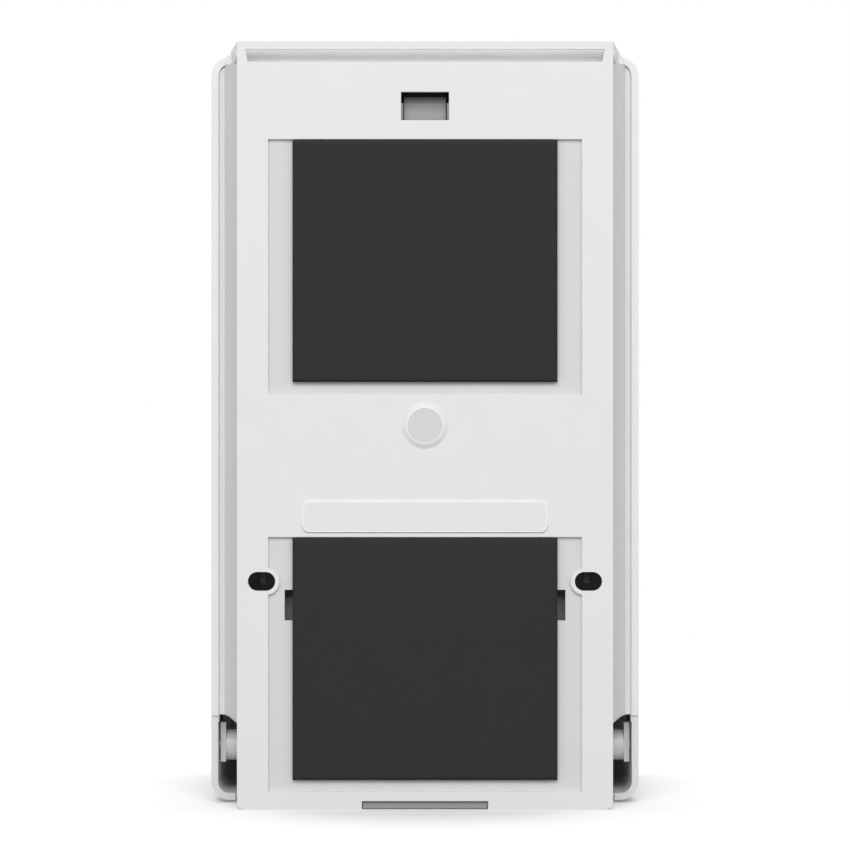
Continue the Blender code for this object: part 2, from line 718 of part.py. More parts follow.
# Rear housing
def rear_housing():
    over = OVERRUN
    flare_front = FLARE_DEPTH + over
    housing = tapered_box(
        "rear_housing",
        plate_half,
        flare_half,
        (PLATE_SETBACK, FLARE_DEPTH),
        (STEP_HEIGHT, HOUSING_HEIGHT),
        WHITE_ABS,
    )
    lower = box_mesh(
        (-plate_half, plate_half), (PLATE_SETBACK, LOWER_WALL_DEPTH), (0, STEP_HEIGHT + HOUSING_WALL)
    )
    corners = []
    for edge in lower.edges:
        if all(at_height(vert, 0) for vert in edge.verts) and edge.verts[0].co.x == edge.verts[1].co.x:
            corners.append(edge)
    bmesh.ops.bevel(
        lower,
        geom=corners,
        offset=PLATE_CORNER_RADIUS,
        segments=EDGE_STEPS,
        affect="EDGES",
        profile=ARC_PROFILE,
        material=-1,
    )
    join(housing, place(lower, "housing_lower_walls"), side_wing(-1), side_wing(1))
    flare_rear_inner = flare_half_at(plate_inner_depth) - HOUSING_WALL
    flare_front_inner = flare_half_at(flare_front) - HOUSING_WALL
    cavity = tapered_box(
        "housing_cavity",
        flare_rear_inner,
        flare_front_inner,
        (plate_inner_depth, flare_front),
        (STEP_HEIGHT + HOUSING_WALL, upper_cavity_height),
    )
    upper_cavity = tapered_box(
        "housing_upper_cavity",
        flare_rear_inner - RUN_GAP,
        flare_front_inner - UPPER_CAVITY_INSET,
        (plate_inner_depth, flare_front),
        (upper_cavity_height - over, housing_ceiling),
    )
    lower_cavity = box(
        "housing_lower_cavity",
        (-lower_half, lower_half),
        (plate_inner_depth, LOWER_WALL_DEPTH + over),
        (HOUSING_WALL, STEP_HEIGHT + HOUSING_WALL + over),
    )
    floor_cut = box(
        "housing_floor_cut",
        (-lower_half, lower_half),
        (FLOOR_DEPTH, LOWER_WALL_DEPTH + over),
        (-over, HOUSING_WALL + over),
    )
    cut(housing, cavity, upper_cavity, lower_cavity, floor_cut)
    for side in (-1, 1):
        cut(housing, shoulder_slope(side), cover_rim_room(side))
    for side in (-1, 1):
        rib = box(
            f"shoulder_rib_{side}",
            side_range(side, plate_half, plate_half + SHOULDER_RIB_REACH),
            (SHOULDER_RIB_SETBACK, COVER_REAR_DEPTH - RUN_GAP),
            (cover_top - SHOULDER_RIB_HEIGHT, cover_top),
        )
        join(housing, rib)
    for name, top in (("upper", upper_recess_top), ("lower", lower_recess_top)):
        recess = box(
            f"{name}_recess",
            (-recess_half, recess_half),
            (-over, recess_floor_depth),
            (top - recess_height, top),
        )
        cut(housing, recess)
    for side in (-1, 1):
        x = side * SCREW_SLOT_SPACING / 2
        ring = stadium(
            f"slot_ring_{side}",
            SCREW_SLOT_LENGTH / 2 + SCREW_SLOT_RING,
            SCREW_SLOT_WIDTH / 2 + SCREW_SLOT_RING,
            x,
            SCREW_SLOT_HEIGHT,
            (PLATE_SETBACK, plate_inner_depth),
        )
        slot = stadium(
            f"screw_slot_{side}",
            SCREW_SLOT_LENGTH / 2,
            SCREW_SLOT_WIDTH / 2,
            x,
            SCREW_SLOT_HEIGHT,
            (-over, plate_inner_depth + over),
        )
        join(housing, ring)
        cut(housing, slot)
    trough_half = flare_rear_inner + TROUGH_OVERLAP
    trough = box(
        "bracket_trough",
        (-trough_half, trough_half),
        (recess_floor_depth, TROUGH_DEPTH + TROUGH_WALL),
        (trough_sill - TROUGH_FLOOR, housing_ceiling + HOUSING_WALL / 2),
    )
    join(housing, trough)
    cut(housing, bracket_slot())
    through = (-over, plate_inner_depth + over)
    latch_window = box(
        "latch_window",
        (-LATCH_WINDOW_WIDTH / 2, LATCH_WINDOW_WIDTH / 2),
        through,
        (latch_window_sill, latch_window_sill + LATCH_WINDOW_HEIGHT),
    )
    pump_window = box(
        "pump_window",
        (-PUMP_WINDOW_WIDTH / 2, PUMP_WINDOW_WIDTH / 2),
        through,
        (PUMP_WINDOW_SILL, PUMP_WINDOW_SILL + PUMP_WINDOW_HEIGHT),
    )
    foot_notch = box(
        "foot_notch",
        (-FOOT_NOTCH_WIDTH / 2, FOOT_NOTCH_WIDTH / 2),
        (-over, FLOOR_DEPTH + over),
        (-over, FOOT_NOTCH_HEIGHT),
    )
    cut(housing, latch_window, pump_window, foot_notch)
    join(housing, centre_nub(), label_panel())
    for side in (-1, 1):
        for height in CRADLE_SCREW_HEIGHTS:
            boss = rod(
                f"cradle_boss_{side}_{height}",
                "Y",
                CRADLE_BOSS_RADIUS,
                (recess_floor_depth + RUN_GAP, CRADLE_REAR_DEPTH - FIT_GAP),
                (side * CRADLE_SCREW_OFFSET, height),
            )
            pilot = rod(
                f"cradle_pilot_{side}_{height}",
                "Y",
                CRADLE_PILOT_RADIUS,
                (plate_inner_depth, CRADLE_REAR_DEPTH + over),
                (side * CRADLE_SCREW_OFFSET, height),
                segments=ROUND_SEGMENTS // 2,
            )
            join(housing, boss)
            cut(housing, pilot)
        pin_hole = rod(
            f"pivot_hole_{side}",
            "X",
            PIN_RADIUS + PIN_CLEARANCE,
            side_range(side, lower_half - over, plate_half + over),
            (PIVOT_DEPTH, PIVOT_HEIGHT),
        )
        cut(housing, pin_hole)
        latch_rib = box(
            f"latch_rib_{side}",
            side_range(
                side,
                LATCH_HUB_WIDTH / 2 + RUN_GAP,
                LATCH_HUB_WIDTH / 2 + RUN_GAP + LATCH_RIB_THICKNESS,
            ),
            (LATCH_PIVOT_DEPTH - LATCH_RIB_DEPTH / 2, LATCH_PIVOT_DEPTH + LATCH_RIB_DEPTH / 2),
            (latch_rib_low, housing_ceiling + HOUSING_WALL / 2),
        )
        join(housing, latch_rib)
    latch_hole = rod(
        "latch_pin_hole",
        "X",
        LATCH_PIN_RADIUS + FIT_GAP,
        (-LATCH_HUB_WIDTH, LATCH_HUB_WIDTH),
        (LATCH_PIVOT_DEPTH, latch_pivot_height),
        segments=ROUND_SEGMENTS // 2,
    )
    ledge = box(
        "spring_ledge",
        (-SPRING_LEDGE_WIDTH / 2, SPRING_LEDGE_WIDTH / 2),
        (recess_floor_depth, LATCH_SPRING_DEPTH + LATCH_SPRING_RADIUS + LATCH_SPRING_WIRE),
        (spring_ledge_top - SPRING_LEDGE_THICKNESS, spring_ledge_top),
    )
    button_hole = box(
        "button_hole",
        (-BUTTON_WIDTH / 2 - FIT_GAP, BUTTON_WIDTH / 2 + FIT_GAP),
        (BUTTON_REAR_DEPTH - FIT_GAP, BUTTON_REAR_DEPTH + BUTTON_LENGTH + FIT_GAP),
        (housing_ceiling - over, HOUSING_HEIGHT + over),
    )
    cut(housing, latch_hole, button_hole)
    join(housing, ledge)
    return housing


def side_wing(side):
    """Flared side below the cover's top: slope, narrow ledge, and a straight wall in front."""
    front = FLARE_DEPTH - WING_FRONT_INSET
    ledge_half = wing_outer - WING_LEDGE_WIDTH
    plan = (
        (plate_half - WING_ROOT, PLATE_SETBACK + WING_ROOT),
        (ledge_half, WING_LEDGE_DEPTH),
        (wing_outer, WING_LEDGE_DEPTH + WING_LEDGE_RISE),
        (wing_outer, front),
        (flare_half - WING_OVERLAP, front),
        (plate_half - WING_OVERLAP, PLATE_SETBACK + WING_OVERLAP),
    )
    low = z_at(STEP_HEIGHT + WING_FOOT_RISE)
    bm = bmesh.new()
    face = bm.faces.new([bm.verts.new((side * x, y_at(depth), low)) for x, depth in plan])
    grown = bmesh.ops.extrude_face_region(bm, geom=[face])
    moved = [item for item in grown["geom"] if isinstance(item, bmesh.types.BMVert)]
    bmesh.ops.translate(bm, verts=moved, vec=(0, 0, z_at(wing_top) - low))
    rim = []
    for edge in bm.edges:
        if all(at_height(vert, wing_top) for vert in edge.verts):
            if all(abs(abs(vert.co.x) - wing_outer) < WELD_DISTANCE for vert in edge.verts):
                rim.append(edge)
    bmesh.ops.bevel(
        bm,
        geom=rim,
        offset=WING_TOP_RADIUS,
        segments=EDGE_STEPS,
        affect="EDGES",
        profile=ARC_PROFILE,
        material=-1,
    )
    return place(bm, f"side_wing_{side}")


def shoulder_slope(side):
    """Tool that slopes the housing's top edge down towards the cover's rim."""
    start = plate_half - SHOULDER_START
    end = cover_half
    corners = (
        (start, HOUSING_HEIGHT + SHOULDER_START * SHOULDER_SLOPE),
        (end, HOUSING_HEIGHT - (end - plate_half) * SHOULDER_SLOPE),
        (end, HOUSING_HEIGHT + OVERRUN),
        (start, HOUSING_HEIGHT + OVERRUN),
    )
    bm = bmesh.new()
    rear = y_at(-OVERRUN)
    face = bm.faces.new([bm.verts.new((side * x, rear, z_at(height))) for x, height in corners])
    grown = bmesh.ops.extrude_face_region(bm, geom=[face])
    moved = [item for item in grown["geom"] if isinstance(item, bmesh.types.BMVert)]
    bmesh.ops.translate(bm, verts=moved, vec=(0, y_at(FLARE_DEPTH + 2 * OVERRUN), 0))
    return place(bm, f"shoulder_slope_{side}")


def cover_rim_room(side):
    """Tool that leaves the cover's rim free to swing forwards over the wing's round top."""
    radius = WING_TOP_RADIUS + RUN_GAP / 2
    centre = wing_outer - WING_TOP_RADIUS
    centre_height = wing_top - WING_TOP_RADIUS
    clear = HOUSING_HEIGHT + OVERRUN
    corners = [(cover_half, centre_height), (cover_half, clear), (centre, clear)]
    for index in range(EDGE_STEPS + 1):
        angle = math.pi / 2 * (1 - index / EDGE_STEPS)
        corners.append((centre + radius * math.cos(angle), centre_height + radius * math.sin(angle)))
    bm = bmesh.new()
    rear = y_at(COVER_REAR_DEPTH - RUN_GAP / 2)
    face = bm.faces.new([bm.verts.new((side * x, rear, z_at(height))) for x, height in corners])
    grown = bmesh.ops.extrude_face_region(bm, geom=[face])
    moved = [item for item in grown["geom"] if isinstance(item, bmesh.types.BMVert)]
    bmesh.ops.translate(bm, verts=moved, vec=(0, y_at(FLARE_DEPTH), 0))
    return place(bm, f"cover_rim_room_{side}")


def bracket_slot():
    """Tool for the slot under the top's rear edge and the open trough in front of it."""
    clear = HOUSING_HEIGHT + OVERRUN
    section = (
        (-OVERRUN, trough_sill),
        (TROUGH_DEPTH, trough_sill),
        (TROUGH_DEPTH, clear),
        (plate_inner_depth, clear),
        (plate_inner_depth, housing_ceiling),
        (-OVERRUN, housing_ceiling),
    )
    slope = BRACKET_SLOT_TAPER / BRACKET_SLOT_HEIGHT
    bm = bmesh.new()
    rings = []
    for side in (-1, 1):
        ring = []
        for depth, height in section:
            half = bracket_slot_half + (height - housing_ceiling) * slope
            ring.append(bm.verts.new((side * half, y_at(depth), z_at(height))))
        rings.append(ring)
        bm.faces.new(ring)
    for index in range(len(section)):
        following = (index + 1) % len(section)
        corners = [rings[0][index], rings[0][following], rings[1][following], rings[1][index]]
        bm.faces.new(corners)
    return place(bm, "bracket_slot")


def centre_nub():
    """Round button with sloping sides and a flat disc, which touches the wall."""
    bm = rod_mesh("Y", NUB_TOP_RADIUS, (0, PLATE_SETBACK), (0, middle_height), NUB_BASE_RADIUS)
    base = min(bm.faces, key=lambda face: face.calc_center_median().y)
    root = bmesh.ops.extrude_discrete_faces(bm, faces=[base])
    bmesh.ops.translate(bm, verts=root["faces"][0].verts, vec=(0, y_at(HOUSING_WALL / 2), 0))
    return place(bm, "centre_nub")


def label_panel():
    """The low panel with rounded corners between the nub and the lower recess."""
    panel = box_mesh(
        (-LABEL_WIDTH / 2, LABEL_WIDTH / 2),
        (PLATE_SETBACK - LABEL_RISE, plate_inner_depth),
        (label_sill, label_sill + LABEL_HEIGHT),
    )
    corners = [edge for edge in panel.edges if edge.verts[0].co.xz == edge.verts[1].co.xz]
    bmesh.ops.bevel(
        panel,
        geom=corners,
        offset=LABEL_RADIUS,
        segments=EDGE_STEPS,
        affect="EDGES",
        profile=ARC_PROFILE,
        material=-1,
    )
    return place(panel, "label_panel")


def foam_pad(name, recess_top):
    pad = box(
        name,
        (-pad_half, pad_half),
        (0, recess_floor_depth - FIT_GAP),
        (recess_top - recess_height + PAD_FOOT_GAP, recess_top - FIT_GAP),
        BLACK_FOAM,
    )
    return pad


def hinge_pin(name, side):
    """A headed pin, pushed outwards through the housing, the cover's ear and into the bar."""
    head_inner = lower_half - FIT_GAP - PIN_HEAD_LENGTH
    tip = bar_inner + PIN_SOCKET_DEPTH - FIT_GAP
    pin = rod(
        name,
        "X",
        PIN_RADIUS,
        side_range(side, head_inner, tip),
        (PIVOT_DEPTH, PIVOT_HEIGHT),
        ZINC_STEEL,
    )
    head = rod(
        f"{name}_head",
        "X",
        PIN_HEAD_RADIUS,
        side_range(side, head_inner, lower_half - FIT_GAP),
        (PIVOT_DEPTH, PIVOT_HEIGHT),
    )
    join(pin, head)
    return pin


# Front cover
def front_cover():
    low = BAR_BOTTOM_HEIGHT
    bm = plan_prism(COVER_REAR_DEPTH, low, cover_top)
    round_rim(bm, cover_top, COVER_REAR_DEPTH, COVER_TOP_RADIUS)
    drop_faces(bm, lambda vert: at_height(vert, low))
    drop_faces(bm, lambda vert: at_depth(vert, COVER_REAR_DEPTH))
    slanted_cut(bm, COVER_FOOT_HEIGHT, foot_slope, clear_above=False)
    cover = place(bm, "front_cover", COVER_ABS)
    thicken(cover, COVER_WALL)
    clearance = FLARE_GAP / 2
    housing_room = tapered_box(
        "cover_housing_room",
        plate_half + clearance,
        flare_half_at(FLARE_DEPTH + RUN_GAP) + clearance,
        (PLATE_SETBACK, FLARE_DEPTH + RUN_GAP),
        (STEP_HEIGHT, HOUSING_HEIGHT),
    )
    sight_slot = box(
        "sight_slot",
        (-SIGHT_WIDTH / 2, SIGHT_WIDTH / 2),
        (BODY_DEPTH - COVER_WALL - OVERRUN, BODY_DEPTH + OVERRUN),
        (SIGHT_SILL, SIGHT_SILL + sight_height),
    )
    cut(cover, housing_room, sight_slot)
    for side in (-1, 1):
        join(cover, *cover_ear(side))
        bore = rod(
            f"ear_bore_{side}",
            "X",
            PIN_RADIUS + PIN_CLEARANCE,
            side_range(side, plate_half - OVERRUN, cover_inner + COVER_WALL / 2),
            (PIVOT_DEPTH, PIVOT_HEIGHT),
        )
        screw_hole = rod(
            f"catch_screw_hole_{side}",
            "Z",
            CATCH_SCREW_RADIUS + FIT_GAP,
            (cover_top - COVER_WALL - OVERRUN, cover_top - COVER_WALL + CATCH_SCREW_BITE),
            (side * CATCH_SCREW_OFFSET, CATCH_PLATE_REAR_DEPTH + CATCH_PLATE_LENGTH / 2),
            segments=ROUND_SEGMENTS // 2,
        )
        cut(cover, bore, screw_hole)
    return cover


def cover_ear(side):
    """Hinge ear of the cover: a boss on the pin, a bent leaf and a pad that meets the wall."""
    boss = rod(
        f"ear_boss_{side}",
        "X",
        EAR_RADIUS,
        side_range(side, plate_half + RUN_GAP, ear_outer - EAR_THICKNESS / 2),
        (PIVOT_DEPTH, PIVOT_HEIGHT),
    )
    arm_front = EAR_ARM_REAR_DEPTH + EAR_ARM_WIDTH
    rear = PIVOT_DEPTH - EAR_LEAF_REACH
    low = PIVOT_HEIGHT - EAR_LEAF_REACH
    corners = (
        (rear, low),
        (arm_front, low),
        (arm_front, EAR_ARM_TOP_HEIGHT),
        (EAR_ARM_REAR_DEPTH, EAR_ARM_TOP_HEIGHT),
        (EAR_ARM_REAR_DEPTH, EAR_TOP_HEIGHT),
        (rear, EAR_TOP_HEIGHT),
    )
    bm = bmesh.new()
    x = side * ear_inner
    leaf = bm.faces.new([bm.verts.new((x, y_at(depth), z_at(height))) for depth, height in corners])
    grown = bmesh.ops.extrude_face_region(bm, geom=[leaf])
    moved = [item for item in grown["geom"] if isinstance(item, bmesh.types.BMVert)]
    bmesh.ops.translate(bm, verts=moved, vec=(side * EAR_THICKNESS, 0, 0))
    pad = box(
        f"ear_pad_{side}",
        side_range(side, ear_inner + EAR_THICKNESS / 2, cover_inner + COVER_WALL / 2),
        (EAR_ARM_REAR_DEPTH + EAR_PAD_INSET, arm_front - EAR_PAD_INSET),
        (
            seam_height(arm_front, COVER_FOOT_HEIGHT, foot_slope) + EAR_PAD_INSET,
            EAR_ARM_TOP_HEIGHT - EAR_PAD_INSET,
        ),
    )
    return boss, place(bm, f"ear_leaf_{side}"), pad


def sight_window():
    half = SIGHT_WIDTH / 2 - FIT_GAP
    inner = BODY_DEPTH - COVER_WALL - FIT_GAP - SIGHT_FLANGE_THICKNESS
    lens = box(
        "sight_window",
        (-half, half),
        (inner, BODY_DEPTH - SIGHT_SINK),
        (SIGHT_SILL + FIT_GAP, SIGHT_SILL + sight_height - FIT_GAP),
        SMOKED_WINDOW,
    )
    flange = box(
        "sight_flange",
        (-half - SIGHT_FLANGE, half + SIGHT_FLANGE),
        (inner, inner + SIGHT_FLANGE_THICKNESS),
        (SIGHT_SILL - SIGHT_FLANGE, SIGHT_SILL + sight_height + SIGHT_FLANGE),
    )
    join(lens, flange)
    return lens


def cover_catch():
    """Fork under the cover's top, whose two lips drop behind the latch's tooth."""
    catch = box(
        "cover_catch",
        (-CATCH_PLATE_WIDTH / 2, CATCH_PLATE_WIDTH / 2),
        (CATCH_PLATE_REAR_DEPTH, CATCH_PLATE_REAR_DEPTH + CATCH_PLATE_LENGTH),
        (catch_top - CATCH_PLATE_THICKNESS, catch_top),
        GREY_ABS,
    )
    for side in (-1, 1):
        width = side_range(side, PRONG_OFFSET, PRONG_OFFSET + PRONG_WIDTH)
        prong = box(
            f"prong_{side}",
            width,
            (LIP_REAR_DEPTH, CATCH_PLATE_REAR_DEPTH + CATCH_PLATE_LENGTH / 2),
            (prong_top - PRONG_THICKNESS, prong_top),
        )
        lip = box(
            f"lip_{side}",
            width,
            (LIP_REAR_DEPTH, LIP_REAR_DEPTH + LIP_LENGTH),
            (lip_low, prong_top - PRONG_THICKNESS / 2),
        )
        hole = rod(
            f"catch_plate_hole_{side}",
            "Z",
            CATCH_SCREW_RADIUS + FIT_GAP,
            (prong_top - PRONG_THICKNESS - OVERRUN, catch_top + OVERRUN),
            (side * CATCH_SCREW_OFFSET, CATCH_PLATE_REAR_DEPTH + CATCH_PLATE_LENGTH / 2),
            segments=ROUND_SEGMENTS // 2,
        )
        join(catch, prong, lip)
        cut(catch, hole)
    return catch


def screw(name, seat, turn, radius, length, head_radius, head_length):
    """A screw whose head is seated at a point; its shank runs along the turned +Z."""
    bm = bmesh.new()
    bmesh.ops.create_cone(
        bm,
        cap_ends=True,
        segments=ROUND_SEGMENTS // 2,
        radius1=head_radius,
        radius2=head_radius,
        depth=head_length,
    )
    bmesh.ops.translate(bm, verts=bm.verts, vec=(0, 0, -head_length / 2))
    top = max(bm.faces, key=lambda face: face.calc_center_median().z)
    bmesh.ops.inset_region(bm, faces=[top], thickness=head_radius - radius)
    grown = bmesh.ops.extrude_discrete_faces(bm, faces=[top])
    bmesh.ops.translate(bm, verts=grown["faces"][0].verts, vec=(0, 0, length))
    bmesh.ops.transform(bm, matrix=Matrix.Translation(seat) @ turn, verts=bm.verts)
    return place(bm, name, ZINC_STEEL)


def catch_screw(name, side):
    """Screw from below, through the catch and into the cover's top."""
    seat_height = prong_top - PRONG_THICKNESS - FIT_GAP
    tip_height = cover_top - COVER_WALL + CATCH_SCREW_BITE - FIT_GAP
    y = y_at(CATCH_PLATE_REAR_DEPTH + CATCH_PLATE_LENGTH / 2)
    return screw(
        name,
        Vector((side * CATCH_SCREW_OFFSET, y, z_at(seat_height))),
        Matrix.Identity(4),
        CATCH_SCREW_RADIUS,
        tip_height - seat_height,
        CATCH_SCREW_HEAD_RADIUS,
        CATCH_SCREW_HEAD,
    )


# Push bar
def push_bar():
    """Lower skin with rounded corners, and a stepped-in skirt that slides inside the cover."""
    high = cover_top
    bm = plan_prism(COVER_REAR_DEPTH, BAR_BOTTOM_HEIGHT, high)
    round_rim(bm, BAR_BOTTOM_HEIGHT, COVER_REAR_DEPTH, BAR_CORNER_RADIUS)
    drop_faces(bm, lambda vert: at_height(vert, high))
    drop_faces(bm, lambda vert: at_depth(vert, COVER_REAR_DEPTH))
    slanted_cut(bm, COVER_FOOT_HEIGHT - SEAM_GAP, bar_slope, clear_above=True)
    bar = place(bm, "push_bar", BAR_ABS)
    thicken(bar, BAR_WALL)
    join(bar, bar_skirt())
    inner_half = cover_half - BAR_INNER_STRIP
    rear_room = box(
        "bar_rear_room",
        (-inner_half, inner_half),
        (COVER_REAR_DEPTH - OVERRUN, bar_floor_rear),
        (BAR_BOTTOM_HEIGHT - OVERRUN, BAR_BOTTOM_HEIGHT + BAR_WALL + OVERRUN),
    )
    outlet = box(
        "bar_outlet",
        (-OUTLET_WIDTH / 2, OUTLET_WIDTH / 2),
        (bar_floor_rear - OVERRUN, outlet_front),
        (BAR_BOTTOM_HEIGHT - OVERRUN, BAR_BOTTOM_HEIGHT + BAR_WALL + OVERRUN),
    )
    cut(bar, rear_room, outlet)
    for side in (-1, 1):
        join(bar, push_rib(side))
        socket = rod(
            f"bar_socket_{side}",
            "X",
            PIN_RADIUS + PIN_CLEARANCE,
            side_range(side, bar_inner - OVERRUN, bar_inner + PIN_SOCKET_DEPTH),
            (PIVOT_DEPTH, PIVOT_HEIGHT),
        )
        cut(bar, socket)
    recess = box(
        "grip_recess",
        (-GRIP_WIDTH / 2 - FIT_GAP, GRIP_WIDTH / 2 + FIT_GAP),
        (grip_floor_depth(), BODY_DEPTH + OVERRUN),
        (GRIP_SILL - FIT_GAP, GRIP_SILL + GRIP_HEIGHT + FIT_GAP),
    )
    cut(bar, recess)
    return bar


def bar_skirt():
    """Ledge and upright skirt inside the seam: an L-shaped section swept round the plan."""
    bm = bmesh.new()
    sections = []
    for x, y in plan_outline(0, SKIRT_REAR_DEPTH):
        section = []
        for inset, level in SKIRT_SECTION:
            inner_x, inner_y = inset_point(x, y, inset)
            ledge = seam_height(-inner_y, COVER_FOOT_HEIGHT - SEAM_GAP - SKIRT_DROP, bar_slope)
            lap = seam_height(-inner_y, COVER_FOOT_HEIGHT + SKIRT_LAP, foot_slope)
            heights = {"ledge_low": ledge - BAR_WALL, "ledge_top": ledge, "lap_top": lap}
            section.append(bm.verts.new((inner_x, inner_y, z_at(heights[level]))))
        sections.append(section)
    for before, after in zip(sections, sections[1:]):
        for index in range(len(before)):
            following = (index + 1) % len(before)
            bm.faces.new((before[index], before[following], after[following], after[index]))
    bm.faces.new(sections[0])
    bm.faces.new(sections[-1])
    return place(bm, "bar_skirt")


def grip_floor_depth():
    """Depth of the flat floor that the push pad sits on."""
    bow_radius = bow_geometry()[1]
    edge_drop = bow_radius - math.sqrt(bow_radius**2 - (GRIP_WIDTH / 2) ** 2)
    return BODY_DEPTH - edge_drop - GRIP_SINK


def push_rib(side):
    """Upright rib whose flat tip lifts the lever; it widens towards the bar's floor."""
    tip_front = RIB_CONTACT_DEPTH + RIB_TIP_LENGTH / 2
    tip_rear = RIB_CONTACT_DEPTH - RIB_TIP_LENGTH / 2
    x = side * RIB_OFFSET
    bm = box_mesh(
        (x - RIB_WIDTH / 2, x + RIB_WIDTH / 2),
        (tip_rear, tip_front),
        (BAR_BOTTOM_HEIGHT + BAR_WALL / 2, LEVER_BLADE_BOTTOM - FIT_GAP),
    )
    for vert in bm.verts:
        foot = vert.co.z < z_at(LEVER_BLADE_BOTTOM / 2)
        if foot and vert.co.y < y_at(RIB_CONTACT_DEPTH):
            vert.co.y = y_at(BODY_DEPTH - RIB_FRONT_GAP)
    return place(bm, f"push_rib_{side}")


def push_pad():
    """Bowed grip panel, let into the front of the push bar."""
    bow, bow_radius, bow_centre_y, corner_x, corner_y = bow_geometry()
    radius = bow_radius + GRIP_RISE
    reach = math.asin(GRIP_WIDTH / 2 / radius)
    bm = bmesh.new()
    corners = []
    for index in range(BOW_STEPS + 1):
        angle = reach * (1 - 2 * index / BOW_STEPS)
        x = radius * math.sin(angle)
        y = bow_centre_y - radius * math.cos(angle)
        corners.append(bm.verts.new((x, y, z_at(GRIP_SILL))))
    floor_y = y_at(grip_floor_depth() + FIT_GAP)
    for side in (-1, 1):
        corners.append(bm.verts.new((side * GRIP_WIDTH / 2, floor_y, z_at(GRIP_SILL))))
    face = bm.faces.new(corners)
    grown = bmesh.ops.extrude_face_region(bm, geom=[face])
    moved = [item for item in grown["geom"] if isinstance(item, bmesh.types.BMVert)]
    bmesh.ops.translate(bm, verts=moved, vec=(0, 0, GRIP_HEIGHT))
    return place(bm, "push_pad", GRIP_RUBBER)


# Pump cradle and lift lever
def pump_cradle():
    """Grey carrier on the back plate: wall, shelf for the cap and webs for the lever."""
    half = CRADLE_WIDTH / 2
    wall_front = CRADLE_REAR_DEPTH + CRADLE_WALL
    cradle = box(
        "pump_cradle",
        (-half, half),
        (CRADLE_REAR_DEPTH, wall_front),
        (CRADLE_BOTTOM, CRADLE_TOP),
        GREY_ABS,
    )
    foot_half = FOOT_NOTCH_WIDTH / 2 - FIT_GAP
    foot = box(
        "cradle_foot",
        (-foot_half, foot_half),
        (CRADLE_FOOT_SETBACK, wall_front),
        (CRADLE_FOOT_HEIGHT, FOOT_NOTCH_HEIGHT - FIT_GAP),
    )
    foot_riser = box(
        "cradle_foot_riser",
        (-foot_half, foot_half),
        (CRADLE_REAR_DEPTH, wall_front),
        (CRADLE_FOOT_HEIGHT, CRADLE_BOTTOM + CRADLE_WALL),
    )
    shelf = box(
        "cradle_shelf",
        (-half, half),
        (CRADLE_REAR_DEPTH, SHELF_FRONT_DEPTH),
        (SHELF_TOP - SHELF_THICKNESS, SHELF_TOP),
    )
    wings = box(
        "cradle_wings",
        (-CRADLE_WING_WIDTH / 2, CRADLE_WING_WIDTH / 2),
        (CRADLE_REAR_DEPTH + CRADLE_WING_INSET, wall_front - CRADLE_WING_INSET),
        (CRADLE_WING_BOTTOM, CRADLE_WING_TOP),
    )
    join(cradle, foot, foot_riser, shelf, wings)
    for side in (-1, 1):
        web = box_mesh(
            side_range(side, half - CRADLE_WALL, half),
            (CRADLE_REAR_DEPTH, SHELF_FRONT_DEPTH),
            (CRADLE_WEB_BOTTOM, SHELF_TOP),
        )
        for vert in web.verts:
            if at_height(vert, CRADLE_WEB_BOTTOM) and at_depth(vert, SHELF_FRONT_DEPTH):
                vert.co.y = y_at(LEVER_AXIS_DEPTH + 2 * LEVER_HUB_RADIUS)
        join(cradle, place(web, f"cradle_web_{side}"))
    slot_radius = CHAMBER_RADIUS + SHELF_SLOT_GAP
    heights = (SHELF_TOP - SHELF_THICKNESS - OVERRUN, SHELF_TOP + OVERRUN)
    slot_round = rod("shelf_slot_round", "Z", slot_radius, heights, (0, PUMP_DEPTH))
    slot_mouth = box(
        "shelf_slot_mouth",
        (-slot_radius, slot_radius),
        (PUMP_DEPTH, SHELF_FRONT_DEPTH + OVERRUN),
        heights,
    )
    axle_hole = rod(
        "lever_axle_hole",
        "X",
        AXLE_RADIUS + FIT_GAP,
        (-half - OVERRUN, half + OVERRUN),
        (LEVER_AXIS_DEPTH, LEVER_AXIS_HEIGHT),
    )
    cut(cradle, slot_round, slot_mouth, axle_hole)
    for side in (-1, 1):
        for height in CRADLE_SCREW_HEIGHTS:
            hole = rod(
                f"cradle_screw_hole_{side}_{height}",
                "Y",
                CRADLE_PILOT_RADIUS,
                (CRADLE_REAR_DEPTH - OVERRUN / 2, wall_front + OVERRUN),
                (side * CRADLE_SCREW_OFFSET, height),
                segments=ROUND_SEGMENTS // 2,
            )
            cut(cradle, hole)
    return cradle


def cradle_screw(name, side, height):
    """Screw from the front, through the cradle's wall into a boss of the back plate."""
    seat_y = y_at(CRADLE_REAR_DEPTH + CRADLE_WALL + FIT_GAP)
    return screw(
        name,
        Vector((side * CRADLE_SCREW_OFFSET, seat_y, z_at(height))),
        Matrix.Rotation(math.radians(-90), 4, "X"),
        CRADLE_SCREW_RADIUS,
        CRADLE_WALL + CRADLE_SCREW_BITE,
        CRADLE_SCREW_HEAD_RADIUS,
        CRADLE_SCREW_HEAD,
    )


def lever_axle():
    half = CRADLE_WIDTH / 2
    return rod(
        "lever_axle",
        "X",
        AXLE_RADIUS,
        (-half, half),
        (LEVER_AXIS_DEPTH, LEVER_AXIS_HEIGHT),
        ZINC_STEEL,
    )


